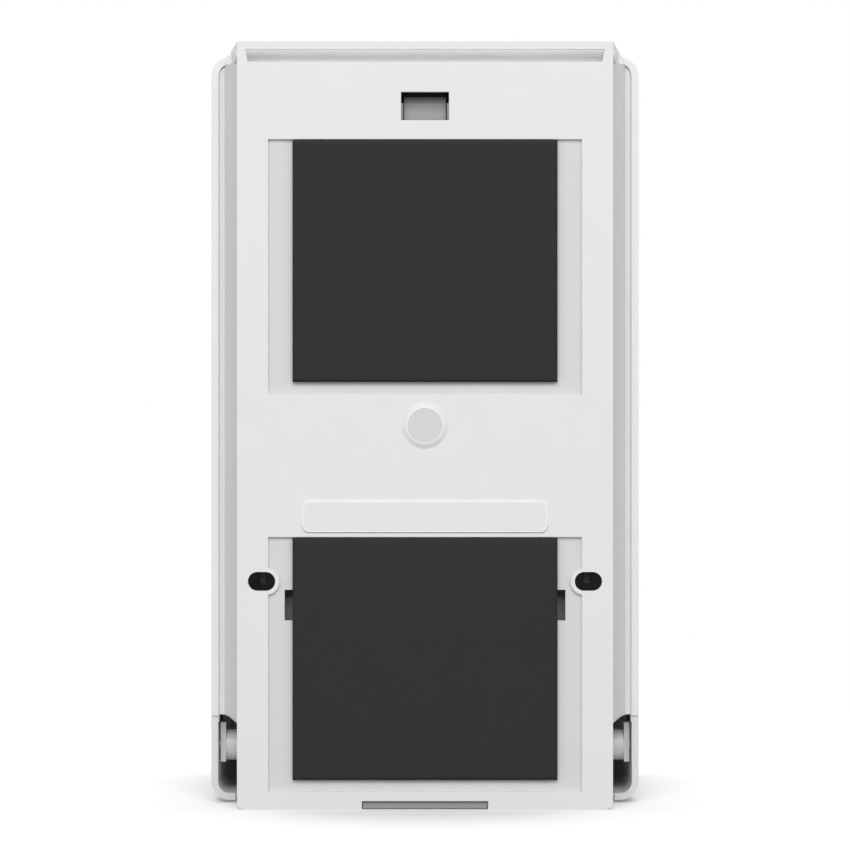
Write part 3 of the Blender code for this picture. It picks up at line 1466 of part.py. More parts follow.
def lift_lever():
    """Forked lever: a hub on the axle, a blade to the push ribs and nubs under the flange."""
    hub_half = CRADLE_WIDTH / 2 - CRADLE_WALL - RUN_GAP
    top = LEVER_BLADE_BOTTOM + LEVER_BLADE_THICKNESS
    front = RIB_CONTACT_DEPTH + LEVER_TIP_MARGIN
    lever = box(
        "lift_lever",
        (-LEVER_BLADE_WIDTH / 2, LEVER_BLADE_WIDTH / 2),
        (LEVER_AXIS_DEPTH, front),
        (LEVER_BLADE_BOTTOM, top),
        GREY_ABS,
    )
    centre = (LEVER_AXIS_DEPTH, LEVER_AXIS_HEIGHT)
    hub = rod("lever_hub", "X", LEVER_HUB_RADIUS, (-hub_half, hub_half), centre)
    fork_slot = box(
        "lever_fork_slot",
        (-LEVER_SLOT_WIDTH / 2, LEVER_SLOT_WIDTH / 2),
        (PUMP_DEPTH - LEVER_SLOT_MARGIN, front + OVERRUN),
        (LEVER_BLADE_BOTTOM - OVERRUN, top + OVERRUN),
    )
    join(lever, hub)
    cut(lever, fork_slot)
    for side in (-1, 1):
        nub = rod(
            f"lever_nub_{side}",
            "X",
            LEVER_NUB_RADIUS,
            side_range(side, LEVER_NUB_OFFSET, LEVER_NUB_OFFSET + LEVER_NUB_LENGTH),
            (PUMP_DEPTH, nub_centre_height),
            segments=ROUND_SEGMENTS // 2,
        )
        join(lever, nub)
    bore = rod(
        "lever_bore",
        "X",
        AXLE_RADIUS + PIN_CLEARANCE,
        (-hub_half - OVERRUN, hub_half + OVERRUN),
        centre,
    )
    cut(lever, bore)
    return lever


# Latch and release button
def latch_lever():
    """Rocker behind the latch window: a hub, an arm, a rear blade and a wide tooth."""
    half = LATCH_BLADE_WIDTH / 2
    latch = box(
        "latch_lever",
        (-half, half),
        (LATCH_BLADE_REAR_DEPTH, LATCH_PIVOT_DEPTH),
        (latch_arm_low, latch_arm_top),
        GREY_ABS,
    )
    hub = rod(
        "latch_hub",
        "X",
        LATCH_HUB_RADIUS,
        (-LATCH_HUB_WIDTH / 2, LATCH_HUB_WIDTH / 2),
        (LATCH_PIVOT_DEPTH, latch_pivot_height),
    )
    blade = box(
        "latch_blade",
        (-half, half),
        (LATCH_BLADE_REAR_DEPTH, LATCH_BLADE_REAR_DEPTH + LATCH_BLADE_THICKNESS),
        (latch_blade_low, latch_blade_top),
    )
    tooth_base = box(
        "latch_tooth_base",
        (-TOOTH_WIDTH / 2, TOOTH_WIDTH / 2),
        (TOOTH_REAR_DEPTH, TOOTH_REAR_DEPTH + TOOTH_LENGTH),
        (latch_arm_low, tooth_top),
    )
    bore = rod(
        "latch_bore",
        "X",
        LATCH_PIN_RADIUS + PIN_CLEARANCE,
        (-LATCH_HUB_WIDTH, LATCH_HUB_WIDTH),
        (LATCH_PIVOT_DEPTH, latch_pivot_height),
        segments=ROUND_SEGMENTS // 2,
    )
    join(latch, hub, blade, tooth_base)
    cut(latch, bore)
    return latch


def latch_pin():
    half = LATCH_HUB_WIDTH / 2 + RUN_GAP + LATCH_RIB_THICKNESS
    return rod(
        "latch_pin",
        "X",
        LATCH_PIN_RADIUS,
        (-half, half),
        (LATCH_PIVOT_DEPTH, latch_pivot_height),
        ZINC_STEEL,
        segments=ROUND_SEGMENTS // 2,
    )


def release_button():
    """Flanged button in the housing's top, whose stem stands on the latch."""
    half = BUTTON_WIDTH / 2
    flange_top = housing_ceiling - FIT_GAP
    button = box(
        "release_button",
        (-half, half),
        (BUTTON_REAR_DEPTH, BUTTON_REAR_DEPTH + BUTTON_LENGTH),
        (flange_top - BUTTON_FLANGE_THICKNESS, HOUSING_HEIGHT - BUTTON_SINK),
        WHITE_ABS,
    )
    flange = box(
        "button_flange",
        (-half - BUTTON_FLANGE, half + BUTTON_FLANGE),
        (BUTTON_REAR_DEPTH - BUTTON_FLANGE, BUTTON_REAR_DEPTH + BUTTON_LENGTH + BUTTON_FLANGE),
        (flange_top - BUTTON_FLANGE_THICKNESS, flange_top),
    )
    stem = box(
        "button_stem",
        (-BUTTON_STEM_WIDTH / 2, BUTTON_STEM_WIDTH / 2),
        (BUTTON_STEM_DEPTH - BUTTON_STEM_LENGTH / 2, BUTTON_STEM_DEPTH + BUTTON_STEM_LENGTH / 2),
        (latch_arm_top + FIT_GAP, flange_top - BUTTON_FLANGE_THICKNESS / 2),
    )
    join(button, flange, stem)
    return button


# Pump, plunger and refill
def bottle_collar():
    """Screw cap that holds the pump's flange against the bottle's neck."""
    hole = CHAMBER_RADIUS + FIT_GAP
    inside = CAP_RADIUS - CAP_WALL
    top = cap_base + CAP_HEIGHT
    profile = [
        (CAP_RADIUS, top),
        (CAP_RADIUS, cap_base),
        (hole, cap_base),
        (hole, cap_base + CAP_FLOOR),
        (inside, cap_base + CAP_FLOOR),
        (inside, top),
    ]
    return lathe("bottle_collar", profile, PUMP_DEPTH, CAP_PLASTIC)


def neck_gasket():
    outer = neck_radius
    inner = neck_radius - GASKET_WIDTH
    top = gasket_low + GASKET_THICKNESS
    profile = [(outer, top), (outer, gasket_low), (inner, gasket_low), (inner, top)]
    return lathe("neck_gasket", profile, PUMP_DEPTH, SEAL_RUBBER)


def pump_body():
    """Flanged chamber that hangs below the cap, with the inlet tube above it."""
    inlet_top = flange_top + INLET_RISE
    seat = inlet_top - BALL_SEAT_HEIGHT
    floor_top = chamber_low + CHAMBER_FLOOR
    stem_hole = STEM_RADIUS + STEM_CLEARANCE
    profile = [
        (INLET_RADIUS, inlet_top),
        (INLET_RADIUS, flange_top),
        (neck_radius, flange_top),
        (neck_radius, flange_low),
        (CHAMBER_RADIUS, flange_low),
        (CHAMBER_RADIUS, chamber_low),
        (stem_hole, chamber_low),
        (stem_hole, floor_top),
        (chamber_bore, floor_top),
        (chamber_bore, chamber_ceiling),
        (BALL_SEAT_BORE, chamber_ceiling),
        (BALL_SEAT_BORE, seat - BALL_SEAT_HEIGHT),
        (INLET_BORE, seat - BALL_SEAT_HEIGHT / 2),
        (INLET_BORE, inlet_top),
    ]
    return lathe("pump_body", profile, PUMP_DEPTH, PUMP_PLASTIC)


def inlet_ball():
    """Valve ball, which lies on the conical seat of the inlet."""
    seat_low = flange_top + INLET_RISE - 2 * BALL_SEAT_HEIGHT
    cone_run = INLET_BORE - BALL_SEAT_BORE
    cone_rise = BALL_SEAT_HEIGHT / 2
    slant = math.hypot(cone_run, cone_rise)
    centre_height = seat_low - BALL_SEAT_BORE * cone_rise / cone_run
    centre_height += (BALL_RADIUS + FIT_GAP) * slant / cone_run
    bm = bmesh.new()
    bmesh.ops.create_uvsphere(bm, u_segments=12, v_segments=8, radius=BALL_RADIUS)
    shift = (0, y_at(PUMP_DEPTH), z_at(centre_height))
    bmesh.ops.translate(bm, verts=bm.verts, vec=shift)
    return place(bm, "inlet_ball", ZINC_STEEL)


def pump_plunger():
    """Hollow piston, stem, flange and outlet tube in one turned piece."""
    head_low = head_top - HEAD_LENGTH
    groove_top = head_low + (HEAD_LENGTH + SEAL_HEIGHT) / 2 + FIT_GAP
    groove_low = groove_top - SEAL_HEIGHT - 2 * FIT_GAP
    head_radius = chamber_bore - HEAD_CLEARANCE
    groove_radius = head_radius - SEAL_WIDTH
    profile = [
        (head_radius, head_top),
        (head_radius, groove_top),
        (groove_radius, groove_top),
        (groove_radius, groove_low),
        (head_radius, groove_low),
        (head_radius, head_low),
        (STEM_RADIUS, head_low),
        (STEM_RADIUS, plunger_flange_top),
        (PLUNGER_FLANGE_RADIUS, plunger_flange_top),
        (PLUNGER_FLANGE_RADIUS, plunger_flange_low),
        (NOZZLE_RADIUS, plunger_flange_low),
        (NOZZLE_RADIUS, NOZZLE_BOTTOM),
        (STEM_BORE, NOZZLE_BOTTOM),
        (STEM_BORE, head_top),
    ]
    return lathe("pump_plunger", profile, PUMP_DEPTH, PUMP_PLASTIC)


def piston_seal():
    head_low = head_top - HEAD_LENGTH
    low = head_low + (HEAD_LENGTH - SEAL_HEIGHT) / 2
    outer = chamber_bore - FIT_GAP
    inner = chamber_bore - HEAD_CLEARANCE - SEAL_WIDTH + FIT_GAP
    top = low + SEAL_HEIGHT
    profile = [(outer, top), (outer, low), (inner, low), (inner, top)]
    return lathe("piston_seal", profile, PUMP_DEPTH, SEAL_RUBBER)


def nozzle_tip():
    """Sleeve on the outlet tube, which narrows to the mouth."""
    top = TIP_BOTTOM + TIP_HEIGHT
    sleeve = NOZZLE_RADIUS + FIT_GAP
    profile = [
        (TIP_RADIUS, top),
        (TIP_MOUTH_RADIUS, TIP_BOTTOM),
        (STEM_BORE, TIP_BOTTOM),
        (STEM_BORE, NOZZLE_BOTTOM - FIT_GAP),
        (sleeve, NOZZLE_BOTTOM - FIT_GAP),
        (sleeve, top),
    ]
    return lathe("nozzle_tip", profile, PUMP_DEPTH, GREY_ABS)


def section_ring(bm, half_x, half_y, squareness, centre_depth, height):
    """A closed ring between a circle and a rounded rectangle."""
    ring = []
    for index in range(BOTTLE_SEGMENTS):
        angle = 2 * math.pi * index / BOTTLE_SEGMENTS
        across = math.cos(angle)
        along = math.sin(angle)
        x = half_x * math.copysign(abs(across) ** (2 / squareness), across)
        y = half_y * math.copysign(abs(along) ** (2 / squareness), along)
        ring.append(bm.verts.new((x, y + y_at(centre_depth), z_at(height))))
    for start, end in zip(ring, ring[1:] + ring[:1]):
        bm.edges.new((start, end))
    return ring


def refill_bottle():
    """Cartridge that stands on its neck: a loft from the round neck to a squarish body."""
    neck_top = neck_low + NECK_LENGTH
    half_x = plate_half - BOTTLE_SIDE_GAP
    half_y = (bottle_front - BOTTLE_REAR_DEPTH) / 2
    sections = [
        (neck_radius, neck_radius, ROUND_SQUARENESS, PUMP_DEPTH, neck_low),
        (neck_radius, neck_radius, ROUND_SQUARENESS, PUMP_DEPTH, neck_top),
    ]
    for rise, spread in SHOULDER_SHARES:
        height = neck_top + (BOTTLE_SHOULDER - neck_top) * rise
        across = neck_radius + (half_x - neck_radius) * spread
        along = neck_radius + (half_y - neck_radius) * spread
        squareness = ROUND_SQUARENESS + (BOTTLE_SQUARENESS - ROUND_SQUARENESS) * spread
        depth = PUMP_DEPTH + (bottle_depth - PUMP_DEPTH) * spread
        sections.append((across, along, squareness, depth, height))
    for rise, spread in CROWN_SHARES:
        height = bottle_top - CROWN_HEIGHT * (1 - rise)
        sections.append((half_x * spread, half_y * spread, BOTTLE_SQUARENESS, bottle_depth, height))
    bm = bmesh.new()
    rings = [section_ring(bm, *section) for section in sections]
    for low, high in zip(rings, rings[1:]):
        for index in range(BOTTLE_SEGMENTS):
            after = (index + 1) % BOTTLE_SEGMENTS
            bm.faces.new((low[index], low[after], high[after], high[index]))
    bm.faces.new(rings[-1])
    bottle = place(bm, "refill_bottle", NATURAL_PE)
    thicken(bottle, BOTTLE_WALL)
    return bottle


# Assembly
rear_housing()
foam_pad("foam_pad_upper", upper_recess_top)
foam_pad("foam_pad_lower", lower_recess_top)
hinge_pin("hinge_pin_left", -1)
hinge_pin("hinge_pin_right", 1)
pump_cradle()
for level, screw_height in zip(("lower", "upper"), CRADLE_SCREW_HEIGHTS):
    cradle_screw(f"cradle_screw_{level}_left", -1, screw_height)
    cradle_screw(f"cradle_screw_{level}_right", 1, screw_height)
lever_axle()
latch_pin()
coil_spring(
    "latch_spring",
    LATCH_SPRING_RADIUS,
    LATCH_SPRING_WIRE,
    LATCH_SPRING_TURNS,
    (spring_ledge_top + FIT_GAP, latch_arm_low - FIT_GAP),
    LATCH_SPRING_DEPTH,
    SPRING_STEEL,
)
refill_bottle()
bottle_collar()
neck_gasket()
pump_body()
inlet_ball()
coil_spring(
    "pump_spring",
    PUMP_SPRING_RADIUS,
    PUMP_SPRING_WIRE,
    PUMP_SPRING_TURNS,
    (plunger_flange_top + FIT_GAP, chamber_low - FIT_GAP),
    PUMP_DEPTH,
    SPRING_STEEL,
)

cover_pieces = [front_cover(), sight_window(), cover_catch()]
cover_pieces += [catch_screw("catch_screw_left", -1), catch_screw("catch_screw_right", 1)]
axis_empty("cover_hinge_axis", PIVOT_DEPTH, PIVOT_HEIGHT, cover_pieces)
axis_empty("push_bar_axis", PIVOT_DEPTH, PIVOT_HEIGHT, [push_bar(), push_pad()])
axis_empty("lift_lever_axis", LEVER_AXIS_DEPTH, LEVER_AXIS_HEIGHT, [lift_lever()])
axis_empty("plunger_axis", PUMP_DEPTH, TIP_BOTTOM, [pump_plunger(), piston_seal(), nozzle_tip()])
axis_empty("latch_axis", LATCH_PIVOT_DEPTH, latch_pivot_height, [latch_lever()])
axis_empty("release_button_axis", BUTTON_STEM_DEPTH, HOUSING_HEIGHT, [release_button()])

for body in parts.objects:
    if body.type == "MESH":
        body.data.shade_smooth()
        body.data.set_sharp_from_angle(angle=math.radians(30))
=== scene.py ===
"""Looks of a white wall-mounted hand sanitizer dispenser, photographed from its back."""
import json
import math

import bmesh
import bpy
from mathutils import Matrix, Vector, noise


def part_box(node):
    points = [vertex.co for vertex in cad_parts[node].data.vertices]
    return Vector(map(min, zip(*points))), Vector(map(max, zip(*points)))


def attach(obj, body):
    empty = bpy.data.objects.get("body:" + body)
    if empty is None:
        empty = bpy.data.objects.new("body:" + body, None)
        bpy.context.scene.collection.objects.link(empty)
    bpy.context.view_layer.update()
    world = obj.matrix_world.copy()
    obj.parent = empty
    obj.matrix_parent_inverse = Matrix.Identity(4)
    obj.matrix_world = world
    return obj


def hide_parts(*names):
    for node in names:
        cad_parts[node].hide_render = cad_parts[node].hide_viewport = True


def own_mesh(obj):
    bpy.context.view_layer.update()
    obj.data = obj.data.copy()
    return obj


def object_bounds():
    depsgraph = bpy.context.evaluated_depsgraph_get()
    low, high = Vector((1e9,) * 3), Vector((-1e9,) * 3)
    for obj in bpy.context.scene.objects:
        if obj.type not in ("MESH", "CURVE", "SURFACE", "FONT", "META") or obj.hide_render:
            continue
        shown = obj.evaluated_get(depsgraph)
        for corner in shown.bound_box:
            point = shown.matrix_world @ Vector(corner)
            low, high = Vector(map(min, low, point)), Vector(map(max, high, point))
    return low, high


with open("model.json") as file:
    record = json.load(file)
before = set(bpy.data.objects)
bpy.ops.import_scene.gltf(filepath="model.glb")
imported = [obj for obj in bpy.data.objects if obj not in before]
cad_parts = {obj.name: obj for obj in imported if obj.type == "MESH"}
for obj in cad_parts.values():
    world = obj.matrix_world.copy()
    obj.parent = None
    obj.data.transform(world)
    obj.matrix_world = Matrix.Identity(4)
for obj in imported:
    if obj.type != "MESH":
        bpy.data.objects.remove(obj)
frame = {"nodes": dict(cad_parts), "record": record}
cad_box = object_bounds()
NODE_SLOT = {part["node"]: part["material_slot"] for part in frame["record"]["subparts"]}
NODE_BODY = {
    node: body for body, nodes in frame["record"]["behaviour"]["bodies"].items() for node in nodes
}

# Camera, straight on to the back and a metre from the wall; sensor and lens are in millimetres
CAMERA_PLACE = (0, 1.0, 0.00015)
SENSOR_WIDTH = 36.0
LENS = 138.6
NEAREST = 0.05

# Softboxes, all turned to the middle of the back: place, width, height and watts.
# Left and right are as the camera sees them.
SOFTBOXES = {
    "key_softbox": ((0.0, 2.4, 1.5), 2.4, 1.5, 52.0),
    "top_softbox": ((0.0, -0.25, 1.5), 1.8, 0.45, 12.5),
    "front_softbox": ((0.0, -2.4, 0.30), 2.4, 1.5, 23.0),
    "left_softbox": ((2.0, 1.0, 0.3), 1.0, 1.6, 3.0),
    "right_softbox": ((-2.0, 1.0, 0.3), 1.0, 1.6, 3.0),
}
BACKDROP = (1.0, 1.0, 1.0)
ROOM_TINT = (0.985, 0.992, 1.0)
ROOM_STRENGTH = 0.46

# Patterns of the mouldings, which run from zero to one: their lumps per metre and their middle,
# how far they move a roughness, and the part that specks and grain have in the relief
CLOUDS = 95.0
SPECKS = 1150.0
GRAIN = 2600.0
CLOUD_DETAIL = 3.0
MIDDLE = 0.5
UNEVEN_GLOSS = 0.10
SPECK_HEIGHT = 0.7
GRAIN_STRENGTH = 0.6

# Width of the rounding at the edges of each rigid moulding, pin and screw; zero leaves them sharp
EDGE_WIDTHS = {
    "rear_housing": 0.0003,
    "front_cover": 0.0004,
    "push_bar": 0.0004,
    "latch_lever": 0.0003,
    "pump_cradle": 0.0003,
    "lift_lever": 0.0002,
    "release_button": 0.0002,
    "cover_catch": 0.0002,
    "sight_window": 0.0002,
    "bottle_collar": 0.0002,
    "pump_body": 0.00015,
    "pump_plunger": 0.00015,
    "nozzle_tip": 0.0001,
    "hinge_pin_left": 0.0001,
    "hinge_pin_right": 0.0001,
    "latch_pin": 0.0001,
    "lever_axle": 0.0001,
    "refill_bottle": 0.0,
    "neck_gasket": 0.0,
    "piston_seal": 0.0,
    "inlet_ball": 0.0,
    **{node: 0.0001 for node in frame["nodes"] if "screw" in node},
}
ROUNDING_SEGMENTS = 2

# Corners this close are one. Faces that meet below the flat angle are joined, edges above the
# rounded angle are rounded, and the creases are the angles above which an edge is kept sharp.
SAME_POINT = 0.000004
FLAT_ANGLE = math.radians(0.6)
ROUNDED_ANGLE = math.radians(22)
CREASE_ANGLE = math.radians(30)
WIRE_CREASE_ANGLE = math.radians(60)
NO_CREASE = math.pi


class Signal:
    """A value in a node tree, so that sums and products read as plain expressions."""

    def __init__(self, graph, socket):
        self.graph = graph
        self.socket = socket

    def combine(self, operation, left, right=0.0):
        return self.graph.node("ShaderNodeMath", {"operation": operation}, {0: left, 1: right})

    def __add__(self, other):
        return self.combine("ADD", self, other)

    def __radd__(self, other):
        return self.combine("ADD", other, self)

    def __sub__(self, other):
        return self.combine("SUBTRACT", self, other)

    def __rsub__(self, other):
        return self.combine("SUBTRACT", other, self)

    def __mul__(self, other):
        return self.combine("MULTIPLY", self, other)

    def __rmul__(self, other):
        return self.combine("MULTIPLY", other, self)

    def __gt__(self, other):
        return self.combine("GREATER_THAN", self, other)

    def __lt__(self, other):
        return self.combine("LESS_THAN", self, other)

    def between(self, low, high):
        """One between two limits and zero outside them."""
        return (self > low) * (self < high)

    def size(self):
        return self.combine("ABSOLUTE", self)

    def root(self):
        return self.combine("SQRT", self)

    def least(self, other):
        return self.combine("MINIMUM", self, other)

    def most(self, other):
        return self.combine("MAXIMUM", self, other)

    def wander(self, spread):
        """A pattern as a change of half the spread up and down."""
        return (self - MIDDLE) * spread

    def ramp(self, low, high, start=0.0, end=1.0):
        """The value moved from one range to another, with its ends held and a soft change."""
        settings = {"interpolation_type": "SMOOTHSTEP"}
        inputs = {"Value": self, "From Min": low, "From Max": high, "To Min": start, "To Max": end}
        return self.graph.node("ShaderNodeMapRange", settings, inputs)


class Graph:
    """A node tree, to which one method adds every node."""

    def __init__(self, tree):
        self.tree = tree

    def feed(self, socket, value):
        """A link, a colour of three channels or a plain value into a socket."""
        if isinstance(value, Signal):
            self.tree.links.new(value.socket, socket)
        elif socket.type == "RGBA":
            socket.default_value = (*value, 1.0)
        else:
            socket.default_value = value

    def node(self, kind, settings=None, inputs=None, output=0):
        made = self.tree.nodes.new(kind)
        for label, value in (settings or {}).items():
            setattr(made, label, value)
        for label, value in (inputs or {}).items():
            self.feed(made.inputs[label], value)
        return Signal(self, made.outputs[output])


class Finish(Graph):
    """A procedural material: one Principled shader, fed by patterns in object coordinates."""

    def __init__(self, name, color, roughness, constants=None):
        self.material = bpy.data.materials.new(name)
        self.material.use_nodes = True
        super().__init__(self.material.node_tree)
        self.shader = self.tree.nodes["Principled BSDF"]
        self.place = self.node("ShaderNodeTexCoord", output="Object")
        self.set("Base Color", color)
        self.set("Roughness", roughness)
        for label, value in (constants or {}).items():
            self.set(label, value)

    def set(self, label, value):
        self.feed(self.shader.inputs[label], value)

    def noise(self, scale, detail=2.0, stretch=(1, 1, 1)):
        """A cloudy pattern from zero to one, with so many lumps per metre."""
        vector = self.node("ShaderNodeMapping", None, {"Vector": self.place, "Scale": stretch})
        inputs = {"Vector": vector, "Scale": scale, "Detail": detail}
        return self.node("ShaderNodeTexNoise", None, inputs)

    def mould_patterns(self):
        """The clouds, the specks and the fine grain of a moulding."""
        return self.noise(CLOUDS, CLOUD_DETAIL), self.noise(SPECKS), self.noise(GRAIN)

    def cells(self, scale):
        return self.node("ShaderNodeTexVoronoi", None, {"Vector": self.place, "Scale": scale})

    def axes(self):
        """The three object coordinates as separate values."""
        kind, inputs = "ShaderNodeSeparateXYZ", {"Vector": self.place}
        return [self.node(kind, None, inputs, output=axis) for axis in "XYZ"]

    def blend(self, factor, first, second):
        """A colour between two others. The Mix node's colour sockets come after its value ones."""
        factor_socket, first_socket, second_socket, result_socket = 0, 6, 7, 2
        inputs = {factor_socket: factor, first_socket: first, second_socket: second}
        return self.node("ShaderNodeMix", {"data_type": "RGBA"}, inputs, output=result_socket)

    def bump(self, height, distance, strength):
        inputs = {"Height": height, "Distance": distance, "Strength": strength}
        self.set("Normal", self.node("ShaderNodeBump", None, inputs))


# Finishes
def tones(color, spread):
    """A darker and a lighter tone of one colour."""
    return [tuple(min(1.0, channel * (1 + change)) for channel in color) for change in (-spread, spread)]


def moulded(name, color, roughness, grain=0.5, mottle=0.012):
    """Moulded plastic: faint cloudy mottling and a fine sparked texture."""
    cloud_spread, speck_spread, tone_spread, grain_depth = 4.0, 2.0, 3.0, 0.00004
    finish = Finish(name, color, roughness)
    cloud, speck, fine = finish.mould_patterns()
    shade = cloud.wander(mottle * cloud_spread) + speck.wander(mottle * speck_spread) + MIDDLE
    finish.set("Base Color", finish.blend(shade, *tones(color, mottle * tone_spread)))
    finish.set("Roughness", cloud.wander(UNEVEN_GLOSS) + speck.wander(UNEVEN_GLOSS) + roughness)
    finish.bump(fine + speck * SPECK_HEIGHT, grain_depth * grain, GRAIN_STRENGTH)
    return finish.material


def button_marks(x, y, z):
    """Masks of the painted shade on the housing's round button and of the painted highlight on the ring
    round it.
    """
    disc_radius, ring_radius, disc_depth, ring_depth = 0.00542, 0.00576, 0.0002, 0.00035
    across = x * x + z * z
    # The disc mask darkens the button as painted shade; the ring mask lightens its rim as a painted
    # highlight.
    shaded_disc = (across < disc_radius**2) * (y > -disc_depth)
    highlight_ring = across.between(disc_radius**2, ring_radius**2) * (y > -ring_depth)
    return shaded_disc, highlight_ring


def label_marks(side, y, z):
    """Masks of the painted highlight on the bare label panel's edge and of the painted shadow line under
    it.
    """
    half_width, middle, half_height, corner = 0.0373, -0.0279, 0.0047, 0.0018
    highlight_inside, highlight_outside, highlight_depth = 0.00032, 0.00005, 0.0009
    line_outside, line_below, line_depth = 0.00036, 0.0030, 0.0013
    beside = (side - (half_width - corner)).most(0.0)
    above = ((z - middle).size() - (half_height - corner)).most(0.0)
    from_edge = (beside * beside + above * above).root() - corner
    # The edge mask is a painted highlight along the panel's rim; the line mask is a painted shadow under
    # it.
    edge = from_edge.between(-highlight_inside, highlight_outside) * (y > -highlight_depth)
    line = from_edge.between(highlight_outside, line_outside) * (z < middle - line_below) * (y > -line_depth)
    return edge, line


def trough_marks(side, y, z):
    """Masks of the painted light on the bracket trough's back wall, and of the painted shade at its ends
    and foot.
    """
    low, high, front, rear = 0.1108, 0.1152, -0.0060, -0.0012
    ends_start, ends_full, ends_top, ends_low, ends_shade = 0.0440, 0.0548, 0.1146, 0.1116, 0.45
    foot_top, foot_low, foot_shade = 0.1122, 0.1113, 0.20
    # The wall mask is painted light on the back wall; the end and foot ramps are painted shade.
    wall = z.between(low, high) * y.between(front, rear)
    ends = side.ramp(ends_start, ends_full) * z.ramp(ends_top, ends_low)
    foot = z.ramp(foot_top, foot_low)
    return wall, wall * (ends * ends_shade + foot * foot_shade)


def housing_white_painted(name, color, roughness):
    """The housing's plastic. Its recess floors are coarser and rougher, and painted shade darkens them;
    painted shade also darkens its round button's disc, its hinge bosses, the bracket trough's ends and
    foot and a line under the label panel, and painted highlights lighten the button's ring, the label
    panel's edge and the trough's back wall."""
    recess_half_width, recess_front, recess_floor = 0.0482, -0.0040, -0.0017
    boss_side, boss_rear, boss_low, boss_high = 0.0581, -0.022, -0.1115, -0.0885
    # Shares of painted shade, blended towards the near-black dark colours: recess floors, button disc,
    # hinge bosses and the line under the label
    recess_shade, disc_shade, boss_shade, line_shade, most_painted_shade = 0.125, 0.16, 0.42, 0.30, 0.5
    # Shares of painted highlight on the label's edge and the trough's back wall, and the pale colour of
    # the highlights
    edge_highlight, wall_light, highlight_color = 0.8, 0.9, (0.95, 0.95, 0.945)
    dark_colors = (0.012, 0.012, 0.012), (0.018, 0.018, 0.018)
    cloud_spread, speck_spread, tone_spread = 0.35, 0.45, 0.045
    recess_roughness, recess_grain, grain_depth = 0.12, 0.8, 0.00002
    finish = Finish(name, color, roughness)
    cloud, speck, fine = finish.mould_patterns()
    x, y, z = finish.axes()
    side = x.size()
    recess = (side < recess_half_width) * y.between(recess_front, recess_floor)
    boss = (side > boss_side) * (y < boss_rear) * z.between(boss_low, boss_high)
    shaded_disc, highlight_ring = button_marks(x, y, z)
    edge, line = label_marks(side, y, z)
    wall, trough_shade = trough_marks(side, y, z)
    # Painted shade: recess floors, button disc, hinge bosses, trough ends and foot, and the line under
    # the label
    painted_shade = recess * recess_shade + shaded_disc * disc_shade + boss * boss_shade + trough_shade + line * line_shade
    # Painted highlights: the button's ring, the label's edge and the trough's back wall
    painted_light = highlight_ring + edge * edge_highlight + wall * wall_light
    shade = cloud.wander(cloud_spread) + speck.wander(speck_spread) + MIDDLE
    white = finish.blend(shade, *tones(color, tone_spread))
    highlighted_white = finish.blend(painted_light.least(1.0), white, highlight_color)
    dark = finish.blend(shade, *dark_colors)
    finish.set("Base Color", finish.blend(painted_shade.least(most_painted_shade), highlighted_white, dark))
    gloss = cloud.wander(UNEVEN_GLOSS) + speck.wander(UNEVEN_GLOSS) + recess * recess_roughness
    finish.set("Roughness", gloss + roughness)
    coarse = fine * (recess * recess_grain + 1.0)
    finish.bump(coarse + speck * SPECK_HEIGHT, grain_depth, GRAIN_STRENGTH)
    return finish.material


def latch_grey_painted_shade(name, color, roughness):
    """The latch's plastic, with painted shade over its upper part, in a band below it and at its lip,
    where the window's edges shade it.
    """
    step, step_blur, upper_fade = 0.0990, 0.0001, 0.0026
    shade_low, shade_high, lip_low, lip_high = 0.0945, 0.0985, 0.0935, 0.0942
    # Shares of painted shade on the latch, and the near-black they blend towards
    upper_shade, top_shade, shade_dark, lip_shade, most_latch_shade = 0.42, 0.35, 0.22, 0.16, 0.95
    clouds, grain, grain_depth, grain_strength, tone_spread = 140.0, 2400.0, 0.00002, 0.5, 0.04
    latch_shade_color = (0.03, 0.03, 0.03)
    finish = Finish(name, color, roughness)
    cloud = finish.noise(clouds, CLOUD_DETAIL)
    z = finish.axes()[2]
    # Painted shade: the upper part, a band under it and a thin lip line are blended towards near-black
    above_step = z.ramp(step - step_blur, step + step_blur)
    upper = above_step * (upper_shade + z.ramp(step, step + upper_fade) * top_shade)
    shaded = z.ramp(shade_low, shade_high) * (z < step) * shade_dark
    lip = z.between(lip_low, lip_high) * lip_shade
    light = finish.blend(cloud, *tones(color, tone_spread))
    finish.set("Base Color", finish.blend((upper + shaded + lip).least(most_latch_shade), light, latch_shade_color))
    finish.set("Roughness", cloud.wander(UNEVEN_GLOSS) + roughness)
    finish.bump(finish.noise(grain), grain_depth, grain_strength)
    return finish.material


def foam(name, color, roughness):
    """Black closed-cell foam: pale-edged cells over a flat skin."""
    cells, clouds, cell_spread, cloud_spread = 1500.0, 70.0, 0.5, 0.4
    cell_colors = (0.0215, 0.0215, 0.0215), (0.0275, 0.0275, 0.0275)
    shine, cell_depth, cell_strength = 0.4, 0.00005, 0.5
    finish = Finish(name, color, roughness, {"Specular IOR Level": shine})
    cell = finish.cells(cells)
    shade = cell * cell_spread + finish.noise(clouds) * cloud_spread
    finish.set("Base Color", finish.blend(shade, *cell_colors))
    finish.bump(cell, cell_depth, cell_strength)
    return finish.material


def rubber(name, color, roughness):
    """Matt rubber, faintly cloudy."""
    clouds, grain, grain_depth, grain_strength = 120.0, 2200.0, 0.00003, 0.5
    tone_spread, gloss_spread = 0.08, 0.12
    finish = Finish(name, color, roughness)
    cloud = finish.noise(clouds, CLOUD_DETAIL)
    finish.set("Base Color", finish.blend(cloud, *tones(color, tone_spread)))
    finish.set("Roughness", cloud.wander(gloss_spread) + roughness)
    finish.bump(finish.noise(grain), grain_depth, grain_strength)
    return finish.material


